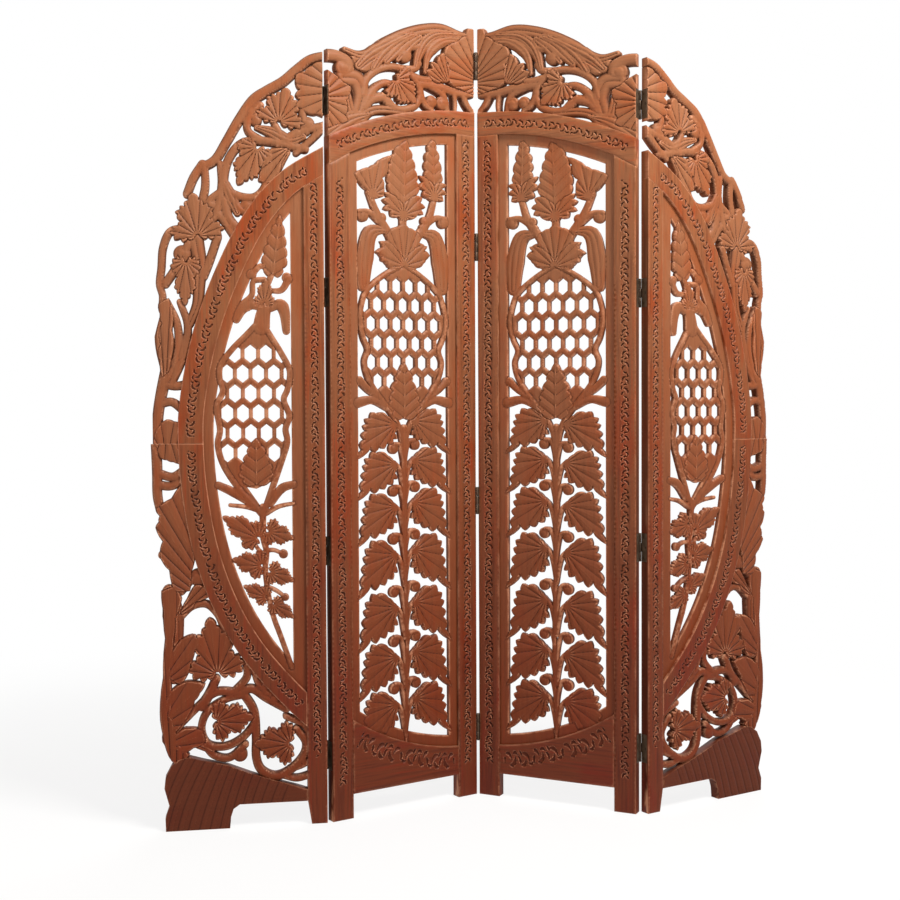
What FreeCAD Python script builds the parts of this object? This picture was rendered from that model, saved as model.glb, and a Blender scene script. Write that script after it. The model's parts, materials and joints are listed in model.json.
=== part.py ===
import FreeCAD, Part
import math
import os
import Sketcher

Vector = FreeCAD.Vector
Rotation = FreeCAD.Rotation
Placement = FreeCAD.Placement

# Folding carved screen of four panels, in millimetres. Each panel is drawn in its own frame: X runs from
# the hinge edge outwards, Y from the front face to the back, Z up from the floor. The panels of the right
# half are drawn, and those of the left half are their mirror images.
doc = FreeCAD.newDocument("carved_jali_screen")

SIZES = (
    ("panel_width", 390, "width of each inner panel, hinge edge to hinge edge"),
    ("stile_width", 52, "face width of every upright"),
    ("frame_thickness", 25, "thickness of uprights, rails, bows and foot boards"),
    ("carving_thickness", 21, "thickness of the crests and the outer carvings"),
    ("carving_setback", 2, "front of the frame to the front of a crest or an outer carving"),
    ("fret_thickness", 13, "thickness of the pierced boards"),
    ("fret_setback", 6, "front of the frame to the front of a pierced board"),
    ("fret_lip", 8, "depth to which a pierced board sits in its groove"),
    ("fret_side_margin", 22, "plain border of a pierced board along an upright or a bow"),
    ("fret_end_margin", 24, "plain border of a pierced board along a rail"),
    ("groove_clearance", 0.3, "between a pierced board and its groove"),
    ("joint_clearance", 0.2, "between a tenon and its mortise"),
    ("seat_gap", 0.2, "glue line between a carving and the curve that it sits on"),
    ("tenon_thickness", 9, "thickness of every tenon"),
    ("tenon_length", 30, "how far a tenon enters"),
    ("tenon_root", 10, "how far a tenon runs back into its own rail"),
    ("shoulder", 12, "shoulder beside a tenon"),
    ("floor_clearance", 55, "floor to the underside of a bottom rail"),
    ("bottom_rail_crown", 66, "height of a bottom rail at the middle of the screen"),
    ("bottom_curve_radius", 606, "upper edge of the bottom rails"),
    ("arch_centre_height", 777, "floor to the centre of the arch"),
    ("arch_radius", 848, "upper edge of the arch rails"),
    ("arch_rail_width", 53, "face width of the arch rails"),
    ("mitre_drop", 30, "fall of the mitre between an arch rail and its outer upright"),
    ("crest_foot_height", 1480, "floor to the foot of the crest's grid"),
    ("crest_height", 350, "height of the crest's grid"),
    ("bow_width", 55, "face width of a bow"),
    ("bow_joint_height", 850, "floor to the joint between the two halves of a bow"),
    ("upper_carving_height", 870, "height of the outer carving's grid above that joint"),
    ("honeycomb_pitch", 34, "between neighbouring holes of a honeycomb's row"),
    ("honeycomb_row_pitch", 43.7, "between the rows of a honeycomb"),
    ("honeycomb_hole_width", 25, "width of a honeycomb's hole"),
    ("honeycomb_hole_height", 40, "height of a honeycomb's hole"),
    ("carving_smoothing", 3.4, "how far the carving's outlines may leave their curves"),
    ("carving_web", 1.8, "wood kept between two holes where their outlines are made plainer"),
    ("carving_chord", 20, "longest chord of a curved edge beside the carving"),
    ("carving_weld", 2, "half width of the wood added where carving would meet in a point"),
    ("smallest_hole_width", 6, "a hole of less than this width squared is left solid"),
    ("lens_foot_height", 370, "floor to the lower tip of the outer fret"),
    ("lens_height", 983, "height of the outer fret's pierced area"),
    ("lens_margin", 29, "plain border of the outer fret along its upright"),
    ("outer_stile_width", 44, "face width of the upright of an outer panel"),
    ("outer_grid_lead", 11, "how far the grids of an outer panel start before its hinge edge"),
    ("outer_height", 1720, "height of an outer panel at its hinge edge"),
    ("leg_taper", 9, "how much the hinge leg of an outer panel narrows to the floor"),
    ("hinge_length", 65, "length of a hinge"),
    ("plate_thickness", 1.5, "plate of a hinge"),
    ("plate_depth", 19, "how far a hinge plate runs across the edge"),
    ("knuckle_radius", 3, "outside of a hinge knuckle"),
    ("pin_radius", 1.6, "hinge pin"),
    ("pin_clearance", 0.05, "between a pin and its knuckles"),
    ("knuckle_gap", 0.4, "between neighbouring knuckles"),
    ("edge_gap", 2, "between two panels in line"),
    ("pivot_standoff", 3.6, "frame face to hinge pin"),
    ("outer_hinge_low", 147, "floor to the middle of an outer joint's lowest hinge"),
    ("outer_hinge_second", 607, "the second of these hinges"),
    ("outer_hinge_third", 1185, "the third of these hinges"),
    ("outer_hinge_top", 1609, "the highest of these hinges"),
    ("middle_hinge_low", 163, "floor to the middle of the middle joint's lowest hinge"),
    ("middle_hinge_second", 706, "the second of these hinges"),
    ("middle_hinge_third", 1308, "the third of these hinges"),
    ("middle_hinge_top", 1734, "the highest of these hinges"),
)

# How far each panel is turned from the line of the screen, as it stands.
TURN_DEGREES = {"panel_1": 9.5, "panel_2": 33.4, "panel_3": -25.4, "panel_4": 31.8}

sheet = doc.addObject("Spreadsheet::Sheet", "sizes")
for row, (alias, value, meaning) in enumerate(SIZES, start=1):
    sheet.set(f"A{row}", meaning)
    sheet.set(f"B{row}", str(value))
    sheet.setAlias(f"B{row}", alias)
doc.recompute()


def size(alias):
    return float(sheet.get(alias))


WIDTH = size("panel_width")
STILE = size("stile_width")
OUTER_STILE = size("outer_stile_width")
LEAD = size("outer_grid_lead")
BOW = size("bow_width")
THICK = size("frame_thickness")
CLEARANCE = size("joint_clearance")
LIP = size("fret_lip")
SEAT_GAP = size("seat_gap")
SIDE_MARGIN = size("fret_side_margin")
END_MARGIN = size("fret_end_margin")
TENON = size("tenon_length")
ROOT = size("tenon_root")
SHOULDER = size("shoulder")
FLOOR_CLEARANCE = size("floor_clearance")
ARCH_Z = size("arch_centre_height")
ARCH_R = size("arch_radius")
RAIL_R = ARCH_R - size("arch_rail_width")
BASE_R = size("bottom_curve_radius")
BASE_TOP = FLOOR_CLEARANCE + size("bottom_rail_crown")
BASE_Z = BASE_TOP + BASE_R
JOINT_Z = size("bow_joint_height")
OUTER_TOP = size("outer_height")


class Grid:
    """A carved area. Places on it are shares, first from its far edge to its near one, then from its
    foot to its head. The near edge is the one beside the hinge that the panel is drawn from."""

    def __init__(self, far, near, foot, head):
        self.far = far
        self.near = near
        self.foot = foot
        self.head = head
        self.width = abs(far - near)

    def point(self, share):
        across = self.far + (self.near - self.far) * share[0]
        return Vector(across, 0, self.foot + (self.head - self.foot) * share[1])


def outline(points):
    """A flat face from its corners, always wound the same way round."""
    pairs = zip(points, points[1:] + points[:1])
    if sum(start.x * end.z - end.x * start.z for start, end in pairs) < 0:
        points = points[::-1]
    return Part.Face(Part.makePolygon(points + [points[0]]))


def patch(grid, outline_shares):
    return outline([grid.point(share) for share in outline_shares])


def block(x_low, x_high, z_low, z_high):
    corners = ((x_low, z_low), (x_high, z_low), (x_high, z_high), (x_low, z_high))
    return outline([Vector(x, 0, z) for x, z in corners])


STEPS_PER_SPAN = 3


def stem(grid, path_shares, width_shares):
    """A stem on a smooth curve through its points. Its width follows the widths from end to end."""
    curve = Part.BSplineCurve()
    curve.interpolate([grid.point(share) for share in path_shares])
    count = STEPS_PER_SPAN * (len(path_shares) - 1) + 1
    first, last = curve.FirstParameter, curve.LastParameter
    one_side, other_side = [], []
    for index in range(count):
        share = index / (count - 1)
        where = first + (last - first) * share
        tangent = curve.tangent(where)[0]
        normal = Vector(tangent.z, 0, -tangent.x).normalize()
        place = share * (len(width_shares) - 1)
        start = min(int(place), len(width_shares) - 2)
        width = width_shares[start] + (width_shares[start + 1] - width_shares[start]) * (place - start)
        half = grid.width * width / 2
        one_side.append(curve.value(where) + normal * half)
        other_side.append(curve.value(where) - normal * half)
    runs = range(count - 1)
    return [outline([one_side[run], one_side[run + 1], other_side[run + 1], other_side[run]]) for run in runs]


BALL_SIDES = 6


def ball(grid, centre_share, radius_share):
    centre = grid.point(centre_share)
    radius = grid.width * radius_share
    turns = [2 * math.pi * index / BALL_SIDES for index in range(BALL_SIDES)]
    return outline([centre + Vector(math.cos(turn), 0, math.sin(turn)) * radius for turn in turns])


# Half outlines of leaves from stalk to tip: shares of the leaf's length and of its half width.
SPEAR_SHARES = (
    (0.00, 0.14), (0.02, 0.45), (0.10, 0.78), (0.16, 1.00), (0.24, 0.66), (0.30, 0.74),
    (0.36, 0.60), (0.46, 0.68), (0.54, 0.50), (0.66, 0.54), (0.72, 0.36), (0.86, 0.28), (1.00, 0.04),
)
BROAD_SHARES = (
    (0.00, 0.12), (-0.06, 0.50), (0.10, 0.90), (0.26, 1.00), (0.40, 0.72), (0.52, 0.82),
    (0.66, 0.56), (0.82, 0.40), (1.00, 0.05),
)


def leaf(grid, base_share, tip_share, half_width_share, profile_shares):
    base = grid.point(base_share)
    along = grid.point(tip_share) - base
    across = Vector(along.z, 0, -along.x).normalize() * grid.width * half_width_share
    one_side = [base + along * run + across * out for run, out in profile_shares]
    other_side = [base + along * run - across * out for run, out in profile_shares]
    return outline(one_side + other_side[::-1])


HONEYCOMB_ROWS = 6
HONEYCOMB_COLUMNS = 3


def honeycomb(centre):
    """Long hexagonal holes in rows, every other row moved by half a pitch."""
    holes = []
    pitch = size("honeycomb_pitch")
    half = size("honeycomb_hole_width") / 2
    high = size("honeycomb_hole_height") / 2
    low = high / 2
    corners = ((0, high), (half, low), (half, -low), (0, -high), (-half, -low), (-half, low))
    for row in range(HONEYCOMB_ROWS):
        shift = pitch / 2 if row % 2 == 0 else 0
        for column in range(-HONEYCOMB_COLUMNS, HONEYCOMB_COLUMNS + 1):
            middle = centre + Vector(column * pitch + shift, 0, -row * size("honeycomb_row_pitch"))
            holes.append(outline([middle + Vector(x, 0, z) for x, z in corners]))
    return holes


def flat_list(parts):
    faces = []
    for part in parts:
        faces += part if isinstance(part, list) else [part]
    return faces


def centre_of(shape):
    middle = shape.BoundBox.Center
    return f"({middle.x:.0f}, {middle.z:.0f})"


def pinched(face):
    """Places where two parts of a face's outline meet in a point, which wood can't hold."""
    counts = {}
    for edge in face.Edges:
        for end in edge.Vertexes:
            count = counts.get(end.hashCode(), (0, None))[0]
            counts[end.hashCode()] = (count + 1, end.Point)
    return [point for count, point in counts.values() if count > 2]


SMOOTHING = size("carving_smoothing")
SMOOTHING_SHARES = (1, 0.6, 0.35, 0.1)
KEPT_WEB_SHARE = 0.85
WEB = size("carving_web")
CHORD = size("carving_chord")
SMALLEST_HOLE = size("smallest_hole_width") ** 2
WELDING_ROUNDS = 5


def smoothed(points, slack):
    """The points that a run of straight lines needs to stay within the slack of all of them."""
    start, end = points[0], points[-1]
    line = end - start
    farthest, at = 0, 0
    for index in range(1, len(points) - 1):
        away = points[index] - start
        if line.Length < slack:
            gap = away.Length
        else:
            gap = line.cross(away).Length / line.Length
        if gap > farthest:
            farthest, at = gap, index
    if farthest <= slack:
        return [start, end]
    return smoothed(points[:at + 1], slack)[:-1] + smoothed(points[at:], slack)


def farthest_from(points, place):
    return max(range(len(points)), key=lambda index: (points[index] - place).Length)


def corners(wire, slack):
    """The corners of a closed outline, its curves taken in short chords, without those it can spare."""
    points = []
    for edge in wire.OrderedEdges:
        steps = 2 if isinstance(edge.Curve, Part.Line) else max(2, math.ceil(edge.Length / CHORD) + 1)
        run = edge.discretize(steps)
        if edge.Orientation == "Reversed":
            run = run[::-1]
        points += run[:-1]
    start = farthest_from(points, points[0])
    points = points[start:] + points[:start]
    half = farthest_from(points, points[0])
    return smoothed(points[:half + 1], slack)[:-1] + smoothed(points[half:] + points[:1], slack)[:-1]


def apart(points, others):
    """The least distance between two outlines that are given by their corners."""
    return min(point.distanceToLineSegment(start, end).Length
               for run, side in ((points, others), (others, points))
               for point in run
               for start, end in zip(side, side[1:] + side[:1]))


def plain(wires):
    """Faces for the outlines, each with few corners and with wood enough between it and the others."""
    kept = [corners(wire, SMOOTHING * SMOOTHING_SHARES[-1]) for wire in wires]
    for index, wire in enumerate(wires):
        closest = kept[index]
        reach = FreeCAD.BoundBox(wire.BoundBox)
        reach.enlarge(WEB + 2 * SMOOTHING)
        near = [kept[other] for other, beside in enumerate(wires)
                if other != index and reach.intersect(beside.BoundBox)]
        for share in SMOOTHING_SHARES[:-1]:
            fewer = corners(wire, SMOOTHING * share)
            if len(fewer) > 2 and outline(fewer).isValid() and all(
                    apart(fewer, side) > min(WEB, KEPT_WEB_SHARE * apart(closest, side)) for side in near):
                kept[index] = fewer
                break
    return [outline(points) for points in kept]


def voids_between(ground, faces):
    """What is left of the ground between the faces: its outlines, and those of the islands in it."""
    voids, islands = [], []
    for void in ground.cut(faces).Faces:
        islands += [wire for wire in void.Wires if not wire.isSame(void.OuterWire)]
        if void.Area > SMALLEST_HOLE:
            voids.append(void.OuterWire)
    return voids, islands


def silhouette(name, area, carving):
    """The carving inside an area, as one face with holes. Where it would meet itself in a point, it is
    thickened."""
    faces = flat_list(carving)
    weld = size("carving_weld")
    extent = faces[0].BoundBox
    for face in faces:
        extent.add(face.BoundBox)
    ground = block(extent.XMin - weld, extent.XMax + weld, extent.ZMin - weld, extent.ZMax + weld)
    for attempt in range(WELDING_ROUNDS):
        voids, islands = voids_between(ground, faces)
        outer = max(islands, key=lambda wire: wire.BoundBox.DiagonalLength)
        widest = ground.BoundBox.DiagonalLength - weld
        whole, *holes = plain([outer] + [void for void in voids if void.BoundBox.DiagonalLength < widest])
        pieces = sorted(whole.cut(holes).common(area).Faces, key=lambda face: face.Area)
        points = pinched(pieces[-1])
        if not points:
            break
        faces += [block(point.x - weld, point.x + weld, point.z - weld, point.z + weld) for point in points]
    loose = [wire for wire in islands if not wire.isSame(outer)] + pieces[:-1]
    if loose:
        print(name, "has loose carving at", ", ".join(centre_of(piece) for piece in loose))
    return pieces[-1]


def pierced(name, whole, opening, carving):
    """A board cut away inside its opening, except where the carving is."""
    ground = outline(corners(opening.OuterWire, SMOOTHING * SMOOTHING_SHARES[-1]))
    voids, islands = voids_between(ground, flat_list(carving))
    if islands:
        print(name, "has loose carving at", ", ".join(centre_of(island) for island in islands))
    return whole.cut(plain(voids)).Faces[0]


def height_on(centre_z, radius, x):
    """Height of a curve at x: a positive radius is an upper arc and a negative one a lower arc."""
    return centre_z + math.copysign(math.sqrt(radius * radius - x * x), radius)


def arc(centre_z, radius, start_x, end_x):
    middle_x = (start_x + end_x) / 2
    points = [Vector(x, 0, height_on(centre_z, radius, x)) for x in (start_x, middle_x, end_x)]
    return Part.Arc(*points).toShape()


def joined(edges):
    """A face from arcs in order, with a straight line from the end of each to the start of the next."""
    whole = []
    for index, edge in enumerate(edges):
        following = edges[(index + 1) % len(edges)]
        end = edge.valueAt(edge.LastParameter)
        start = following.valueAt(following.FirstParameter)
        whole += [edge, Part.makeLine(end, start)]
    return Part.Face(Part.Wire(whole))


def path(*points):
    """A broken line, as one edge for each of its runs."""
    return [Part.makeLine(start, end) for start, end in zip(points, points[1:])]


# The outer edge of a bow, as shares of the panel's width and of its height at the hinge.
BOW_SHARES = (
    (0.000, 0.878), (0.269, 0.840), (0.474, 0.786), (0.641, 0.712), (0.764, 0.634), (0.836, 0.552),
    (0.849, 0.494), (0.826, 0.424), (0.764, 0.349), (0.654, 0.279), (0.513, 0.222), (0.341, 0.173),
    (0.131, 0.125), (-0.051, 0.096),
)


STEPS_PER_BOW_SPAN = 2


def bow_area(offset, near_x):
    """The area inside the bow's outer edge, moved outwards by the offset, and beyond near_x. Every such
    edge has its corners at the same steps of the curve, so that they run side by side."""
    edge = Part.BSplineCurve()
    edge.interpolate([Vector(WIDTH * x - LEAD, 0, OUTER_TOP * z) for x, z in BOW_SHARES])
    moved = []
    steps = STEPS_PER_BOW_SPAN * (len(BOW_SHARES) - 1)
    for index in range(steps + 1):
        where = edge.FirstParameter + (edge.LastParameter - edge.FirstParameter) * index / steps
        tangent = edge.tangent(where)[0]
        moved.append(edge.value(where) + Vector(-tangent.z, 0, tangent.x).normalize() * offset)
    return outline(moved).common(block(near_x, 2 * WIDTH, 0, 2 * OUTER_TOP)).Faces[0]


def profile(name, face):
    drawn = doc.addObject("Part::Feature", name + "_outline")
    drawn.Shape = face
    return drawn


def bind(thing, setting, value):
    """Ties a setting to an expression on the sheet, or gives it a worked-out number."""
    if isinstance(value, str):
        thing.setExpression(setting, value)
    elif setting.startswith("Placement.Base."):
        base = Vector(thing.Placement.Base)
        setattr(base, setting[-1], value)
        thing.Placement = Placement(base, thing.Placement.Rotation)
    else:
        setattr(thing, setting, value)


def board(name, face, thickness, front):
    """A flat board: its outline, its thickness and how far its front lies behind the panel's front."""
    slab = doc.addObject("Part::Extrusion", name + "_board")
    slab.Base = profile(name, face)
    slab.DirMode = "Custom"
    slab.Dir = Vector(0, 1, 0)
    slab.Solid = True
    bind(slab, "LengthFwd", thickness)
    bind(slab, "Placement.Base.y", front)
    return slab


def box(name, corner, sides):
    made = doc.addObject("Part::Box", name)
    for axis, value in zip("xyz", corner):
        bind(made, "Placement.Base." + axis, value)
    for side, value in zip(("Length", "Width", "Height"), sides):
        bind(made, side, value)
    return made


def cut(name, base, tools):
    for index, tool in enumerate(tools):
        step = doc.addObject("Part::Cut", f"{name}_cut_{index}")
        step.Base = base
        step.Tool = tool
        base = step
    return base


def fused(name, members):
    union = doc.addObject("Part::MultiFuse", name + "_fused")
    union.Shapes = members
    union.Refine = True
    return union


def tenon(name, x, z, length, height):
    """A tenon and the larger block that cuts its mortise."""
    middle = "(sizes.frame_thickness - sizes.tenon_thickness) / 2"
    tongue = box(name + "_tenon", (x, middle, z), (length, "sizes.tenon_thickness", height))
    hole = box(name + "_mortise",
               (x - CLEARANCE, middle + " - sizes.joint_clearance", z - CLEARANCE),
               (length + 2 * CLEARANCE, "sizes.tenon_thickness + 2 * sizes.joint_clearance",
                height + 2 * CLEARANCE))
    return tongue, hole


def upright(name, width, near_top, far_top, foot_width, start_x):
    """An upright, padded from a sketch whose top end slopes from the hinge side to the other side."""
    body = doc.addObject("PartDesign::Body", name + "_blank")
    sketch = body.newObject("Sketcher::SketchObject", name + "_outline")
    plane = next(item for item in body.Origin.OriginFeatures if item.Role == "XZ_Plane")
    sketch.AttachmentSupport = [(plane, "")]
    sketch.MapMode = "FlatFace"
    face_width = size(width)
    corners = [Vector(0, 0, 0), Vector(foot_width, 0, 0), Vector(face_width, FLOOR_CLEARANCE, 0),
               Vector(face_width, far_top, 0), Vector(0, near_top, 0)]
    count = len(corners)
    for index, corner in enumerate(corners):
        sketch.addGeometry(Part.LineSegment(corner, corners[(index + 1) % count]), False)
    for index in range(count):
        sketch.addConstraint(Sketcher.Constraint("Coincident", index, 2, (index + 1) % count, 1))
    sketch.addConstraint(Sketcher.Constraint("Coincident", 0, 1, -1, 1))
    sketch.addConstraint(Sketcher.Constraint("Horizontal", 0))
    sketch.addConstraint(Sketcher.Constraint("Vertical", 2))
    sketch.addConstraint(Sketcher.Constraint("Vertical", 4))
    dimensions = (
        ("foot_width", Sketcher.Constraint("DistanceX", 0, 1, 0, 2, foot_width), None),
        ("face_width", Sketcher.Constraint("DistanceX", 0, 1, 1, 2, face_width), "sizes." + width),
        ("ankle", Sketcher.Constraint("DistanceY", 0, 2, 1, 2, FLOOR_CLEARANCE), "sizes.floor_clearance"),
        ("far_top", Sketcher.Constraint("DistanceY", 0, 1, 2, 2, far_top), None),
        ("near_top", Sketcher.Constraint("DistanceY", 0, 1, 3, 2, near_top), None),
    )
    for label, constraint, expression in dimensions:
        number = sketch.addConstraint(constraint)
        sketch.renameConstraint(number, label)
        if expression:
            sketch.setExpression("Constraints." + label, expression)
    pad = body.newObject("PartDesign::Pad", name + "_pad")
    pad.Profile = sketch
    pad.setExpression("Length", "sizes.frame_thickness")
    pad.Reversed = True
    bind(body, "Placement.Base.x", start_x)
    return body


# The hinges. A pivot stands off the face of the frame, in front of it or behind it, and each plate lies
# flush in the edge of its panel.
GAP = size("edge_gap")
STANDOFF = size("pivot_standoff")
PLATE = size("plate_thickness")
HINGE = size("hinge_length")
OUTER_HINGES = ("outer_hinge_low", "outer_hinge_second", "outer_hinge_third", "outer_hinge_top")
BARREL_SIDES = 6
MIDDLE_HINGES = ("middle_hinge_low", "middle_hinge_second", "middle_hinge_third", "middle_hinge_top")


class Edge:
    """A hinged edge of a panel: where its pivot is, which way the wood lies, and its hinges."""

    def __init__(self, pivot_x, wood, front, heights):
        self.pivot_x = pivot_x
        self.wood = wood
        self.pivot_y = -STANDOFF if front else THICK + STANDOFF
        self.inward = 1 if front else -1
        self.heights = heights

    def slab(self, name, start, reach, low, high):
        """A thin block on the edge, between two distances from the pivot."""
        x_start = self.pivot_x + self.wood * GAP / 2
        x_low = min(x_start, x_start + self.wood * PLATE)
        y_low = min(self.pivot_y + self.inward * start, self.pivot_y + self.inward * reach)
        return box(name, (x_low, y_low, low), ("sizes.plate_thickness", reach - start, high - low))

    def recesses(self, name):
        """The mortises that the plates lie in."""
        reach = STANDOFF + size("plate_depth") + CLEARANCE
        found = []
        for height in self.heights:
            low = size(height) - HINGE / 2 - CLEARANCE
            high = size(height) + HINGE / 2 + CLEARANCE
            found.append(self.slab(f"{name}_{height}_recess", 0, reach, low, high))
        return found

    def plate(self, name, height, outer_knuckles):
        """One half of a hinge: its plate and either its two outer knuckles or its middle one."""
        middle = size(height)
        low, high = middle - HINGE / 2, middle + HINGE / 2
        sixth = HINGE / 6
        gap = size("knuckle_gap") / 2
        if outer_knuckles:
            spans = ((low, middle - sixth - gap), (middle + sixth + gap, high))
        else:
            spans = ((middle - sixth + gap, middle + sixth - gap),)
        members = [self.slab(name + "_leaf", STANDOFF, STANDOFF + size("plate_depth"), low, high)]
        for index, (start, end) in enumerate(spans):
            members.append(self.slab(f"{name}_tab_{index}", 0, STANDOFF + PLATE, start, end))
            members.append(self.barrel(f"{name}_knuckle_{index}", "sizes.knuckle_radius", start, end))
        bore_radius = f"(sizes.pin_radius + sizes.pin_clearance) / cos(180 deg / {BARREL_SIDES})"
        bore = self.barrel(name + "_bore", bore_radius, middle - HINGE, middle + HINGE)
        return cut(name, fused(name, members), [bore])

    def barrel(self, name, radius, low, high):
        """A faceted bar about the pivot, with its corners on the radius. A pin turns inside the flats of
        its bore."""
        bar = doc.addObject("Part::Prism", name)
        bar.Polygon = BARREL_SIDES
        bar.setExpression("Circumradius", radius)
        bar.Height = high - low
        bar.Placement = Placement(Vector(self.pivot_x, self.pivot_y, low), Rotation())
        return bar

    def plates(self, name, outer_knuckles):
        group = doc.addObject("Part::Compound", name)
        group.Links = [self.plate(f"{name}_{height}", height, outer_knuckles) for height in self.heights]
        return group

    def pins(self, name):
        group = doc.addObject("Part::Compound", name)
        group.Links = [self.barrel(f"{name}_{height}", "sizes.pin_radius", size(height) - HINGE / 2,
                                   size(height) + HINGE / 2) for height in self.heights]
        return group


MIDDLE_EDGE = Edge(-GAP / 2, 1, True, MIDDLE_HINGES)
INNER_FAR_EDGE = Edge(WIDTH + GAP / 2, -1, False, OUTER_HINGES)
OUTER_EDGE = Edge(-GAP / 2, 1, False, OUTER_HINGES)

# The inner panel: two uprights, an arch rail, a bottom rail, a pierced board and a crest.
FAR_INSIDE = WIDTH - STILE
CENTRE_TOP = height_on(ARCH_Z, RAIL_R, STILE)
OUTER_TOP_NEAR = height_on(ARCH_Z, RAIL_R, FAR_INSIDE)
OUTER_TOP_FAR = OUTER_TOP_NEAR - size("mitre_drop")


def inner_board_area(side_inset, end_inset):
    """The area between the uprights and the rails, made smaller by the insets."""
    near, far = STILE + side_inset, FAR_INSIDE - side_inset
    lower = arc(BASE_Z, -(BASE_R - end_inset), near, far)
    upper = arc(ARCH_Z, RAIL_R - end_inset, far, near)
    return joined([lower, upper])


INNER_GRID = Grid(FAR_INSIDE - SIDE_MARGIN, STILE + SIDE_MARGIN, BASE_TOP + END_MARGIN,
                  ARCH_Z + RAIL_R - END_MARGIN)

# Outline of the honeycomb's bulb, from its top down the far side to its foot.
BULB_FAR_SHARES = (
    (0.50, 0.793), (0.30, 0.774), (0.12, 0.750), (0.055, 0.728), (0.03, 0.700), (0.06, 0.672),
    (0.11, 0.652), (0.075, 0.632), (0.11, 0.607), (0.20, 0.583), (0.32, 0.558), (0.43, 0.532), (0.50, 0.505),
)
BULB_NEAR_SHARES = tuple((1.01 - x, z) for x, z in BULB_FAR_SHARES)
HONEYCOMB_TOP_SHARES = (0.505, 0.7565)
BORDER_SHARES = (0.050, 0.056)

SHELL_SHARES = (
    (0.50, 0.792), (0.40, 0.792), (0.33, 0.789), (0.29, 0.797), (0.25, 0.803), (0.22, 0.812), (0.27, 0.818),
    (0.27, 0.825), (0.33, 0.830), (0.32, 0.840), (0.38, 0.850), (0.44, 0.853), (0.51, 0.859), (0.57, 0.853),
    (0.63, 0.850), (0.69, 0.842), (0.69, 0.830), (0.75, 0.825), (0.75, 0.818), (0.80, 0.811), (0.76, 0.802),
    (0.73, 0.796), (0.69, 0.789), (0.60, 0.792),
)
FAN_SHARES = (
    (0.14, 0.893), (0.10, 0.908), (0.03, 0.918), (-0.03, 0.932), (0.05, 0.940), (0.14, 0.945), (0.20, 0.951),
    (0.28, 0.962), (0.38, 0.968), (0.34, 0.955), (0.33, 0.938), (0.28, 0.930), (0.30, 0.918), (0.29, 0.900),
)
LOOSE_LEAF_SHARES = (
    (0.03, 0.003), (-0.14, 0.014), (-0.26, 0.022), (-0.29, 0.000), (-0.33, -0.026), (-0.38, -0.066),
    (-0.20, -0.036), (-0.13, -0.042), (0.00, -0.038), (0.05, -0.010),
)
LEAF_ROW_SHARES = (0.529, 0.464, 0.394, 0.315, 0.228, 0.146, 0.068)
FRET_STEM_SHARES = (
    (((0.505, 0.525), (0.50, 0.440), (0.50, 0.360), (0.505, 0.300), (0.52, 0.220), (0.525, 0.140),
      (0.515, 0.070), (0.50, -0.02)), (0.075, 0.05, 0.045)),
    (((0.36, 0.838), (0.22, 0.872), (0.13, 0.905)), (0.09, 0.06)),
    (((0.66, 0.838), (0.79, 0.868), (0.86, 0.905)), (0.09, 0.06)),
    (((0.28, 0.855), (0.14, 0.872), (0.03, 0.873)), (0.07, 0.05)),
    (((0.72, 0.855), (0.86, 0.872), (0.98, 0.873)), (0.07, 0.05)),
    (((0.34, 0.846), (0.15, 0.840), (0.09, 0.800), (0.07, 0.755)), (0.03, 0.15, 0.18, 0.12)),
    (((0.68, 0.846), (0.86, 0.840), (0.925, 0.800), (0.94, 0.755)), (0.03, 0.15, 0.18, 0.12)),
    (((0.22, 0.575), (0.12, 0.586), (0.02, 0.602)), (0.05, 0.08)),
    (((0.79, 0.575), (0.89, 0.586), (0.99, 0.602)), (0.05, 0.08)),
    (((0.32, 0.556), (0.16, 0.570), (0.00, 0.566)), (0.05, 0.10)),
    (((0.69, 0.556), (0.85, 0.570), (1.01, 0.566)), (0.05, 0.10)),
)
FRET_BALL_SHARES = (((0.065, 0.867), 0.062), ((0.955, 0.867), 0.062), ((0.275, 0.866), 0.045),
                    ((0.745, 0.866), 0.045))
FRET_SPEAR_SHARES = (((0.51, 0.855), (0.51, 0.987), 0.25), ((0.86, 0.885), (0.85, 1.004), 0.16))
FRET_LEAF_SHARES = (((0.505, 0.548), (0.505, 0.628), 0.165),)
# A row of the vine: its axis, how far from it the leaves and buds start, and where their stalks run.
VINE_AXIS_SHARE = 0.505
LEAF_START_SHARE = 0.135
NEAR_LIFT_SHARE = 0.006
STALK_SHARES = (((0.0, -0.035), (0.045, -0.008), (0.15, -0.002)), (0.06, 0.07))
BUD_STALK_SHARES = (((0.0, -0.015), (0.04, 0.018), (0.12, 0.027)), (0.05, 0.05))
BUD_SHARES = ((0.135, 0.021), 0.062)


def vine_row(grid, height_share, first):
    """A pair of drooping leaves, with their stalks and the buds above them."""
    parts = []
    for side, lift_share in ((1, 0), (-1, NEAR_LIFT_SHARE)):
        def placed(shares):
            return [(VINE_AXIS_SHARE - side * x, height_share + lift_share + z) for x, z in shares]

        parts.append(patch(grid, placed([(LEAF_START_SHARE - x, z) for x, z in LOOSE_LEAF_SHARES])))
        parts.append(stem(grid, placed(STALK_SHARES[0]), STALK_SHARES[1]))
        if not first:
            parts.append(ball(grid, placed([BUD_SHARES[0]])[0], BUD_SHARES[1]))
            parts.append(stem(grid, placed(BUD_STALK_SHARES[0]), BUD_STALK_SHARES[1]))
    return parts


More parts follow.
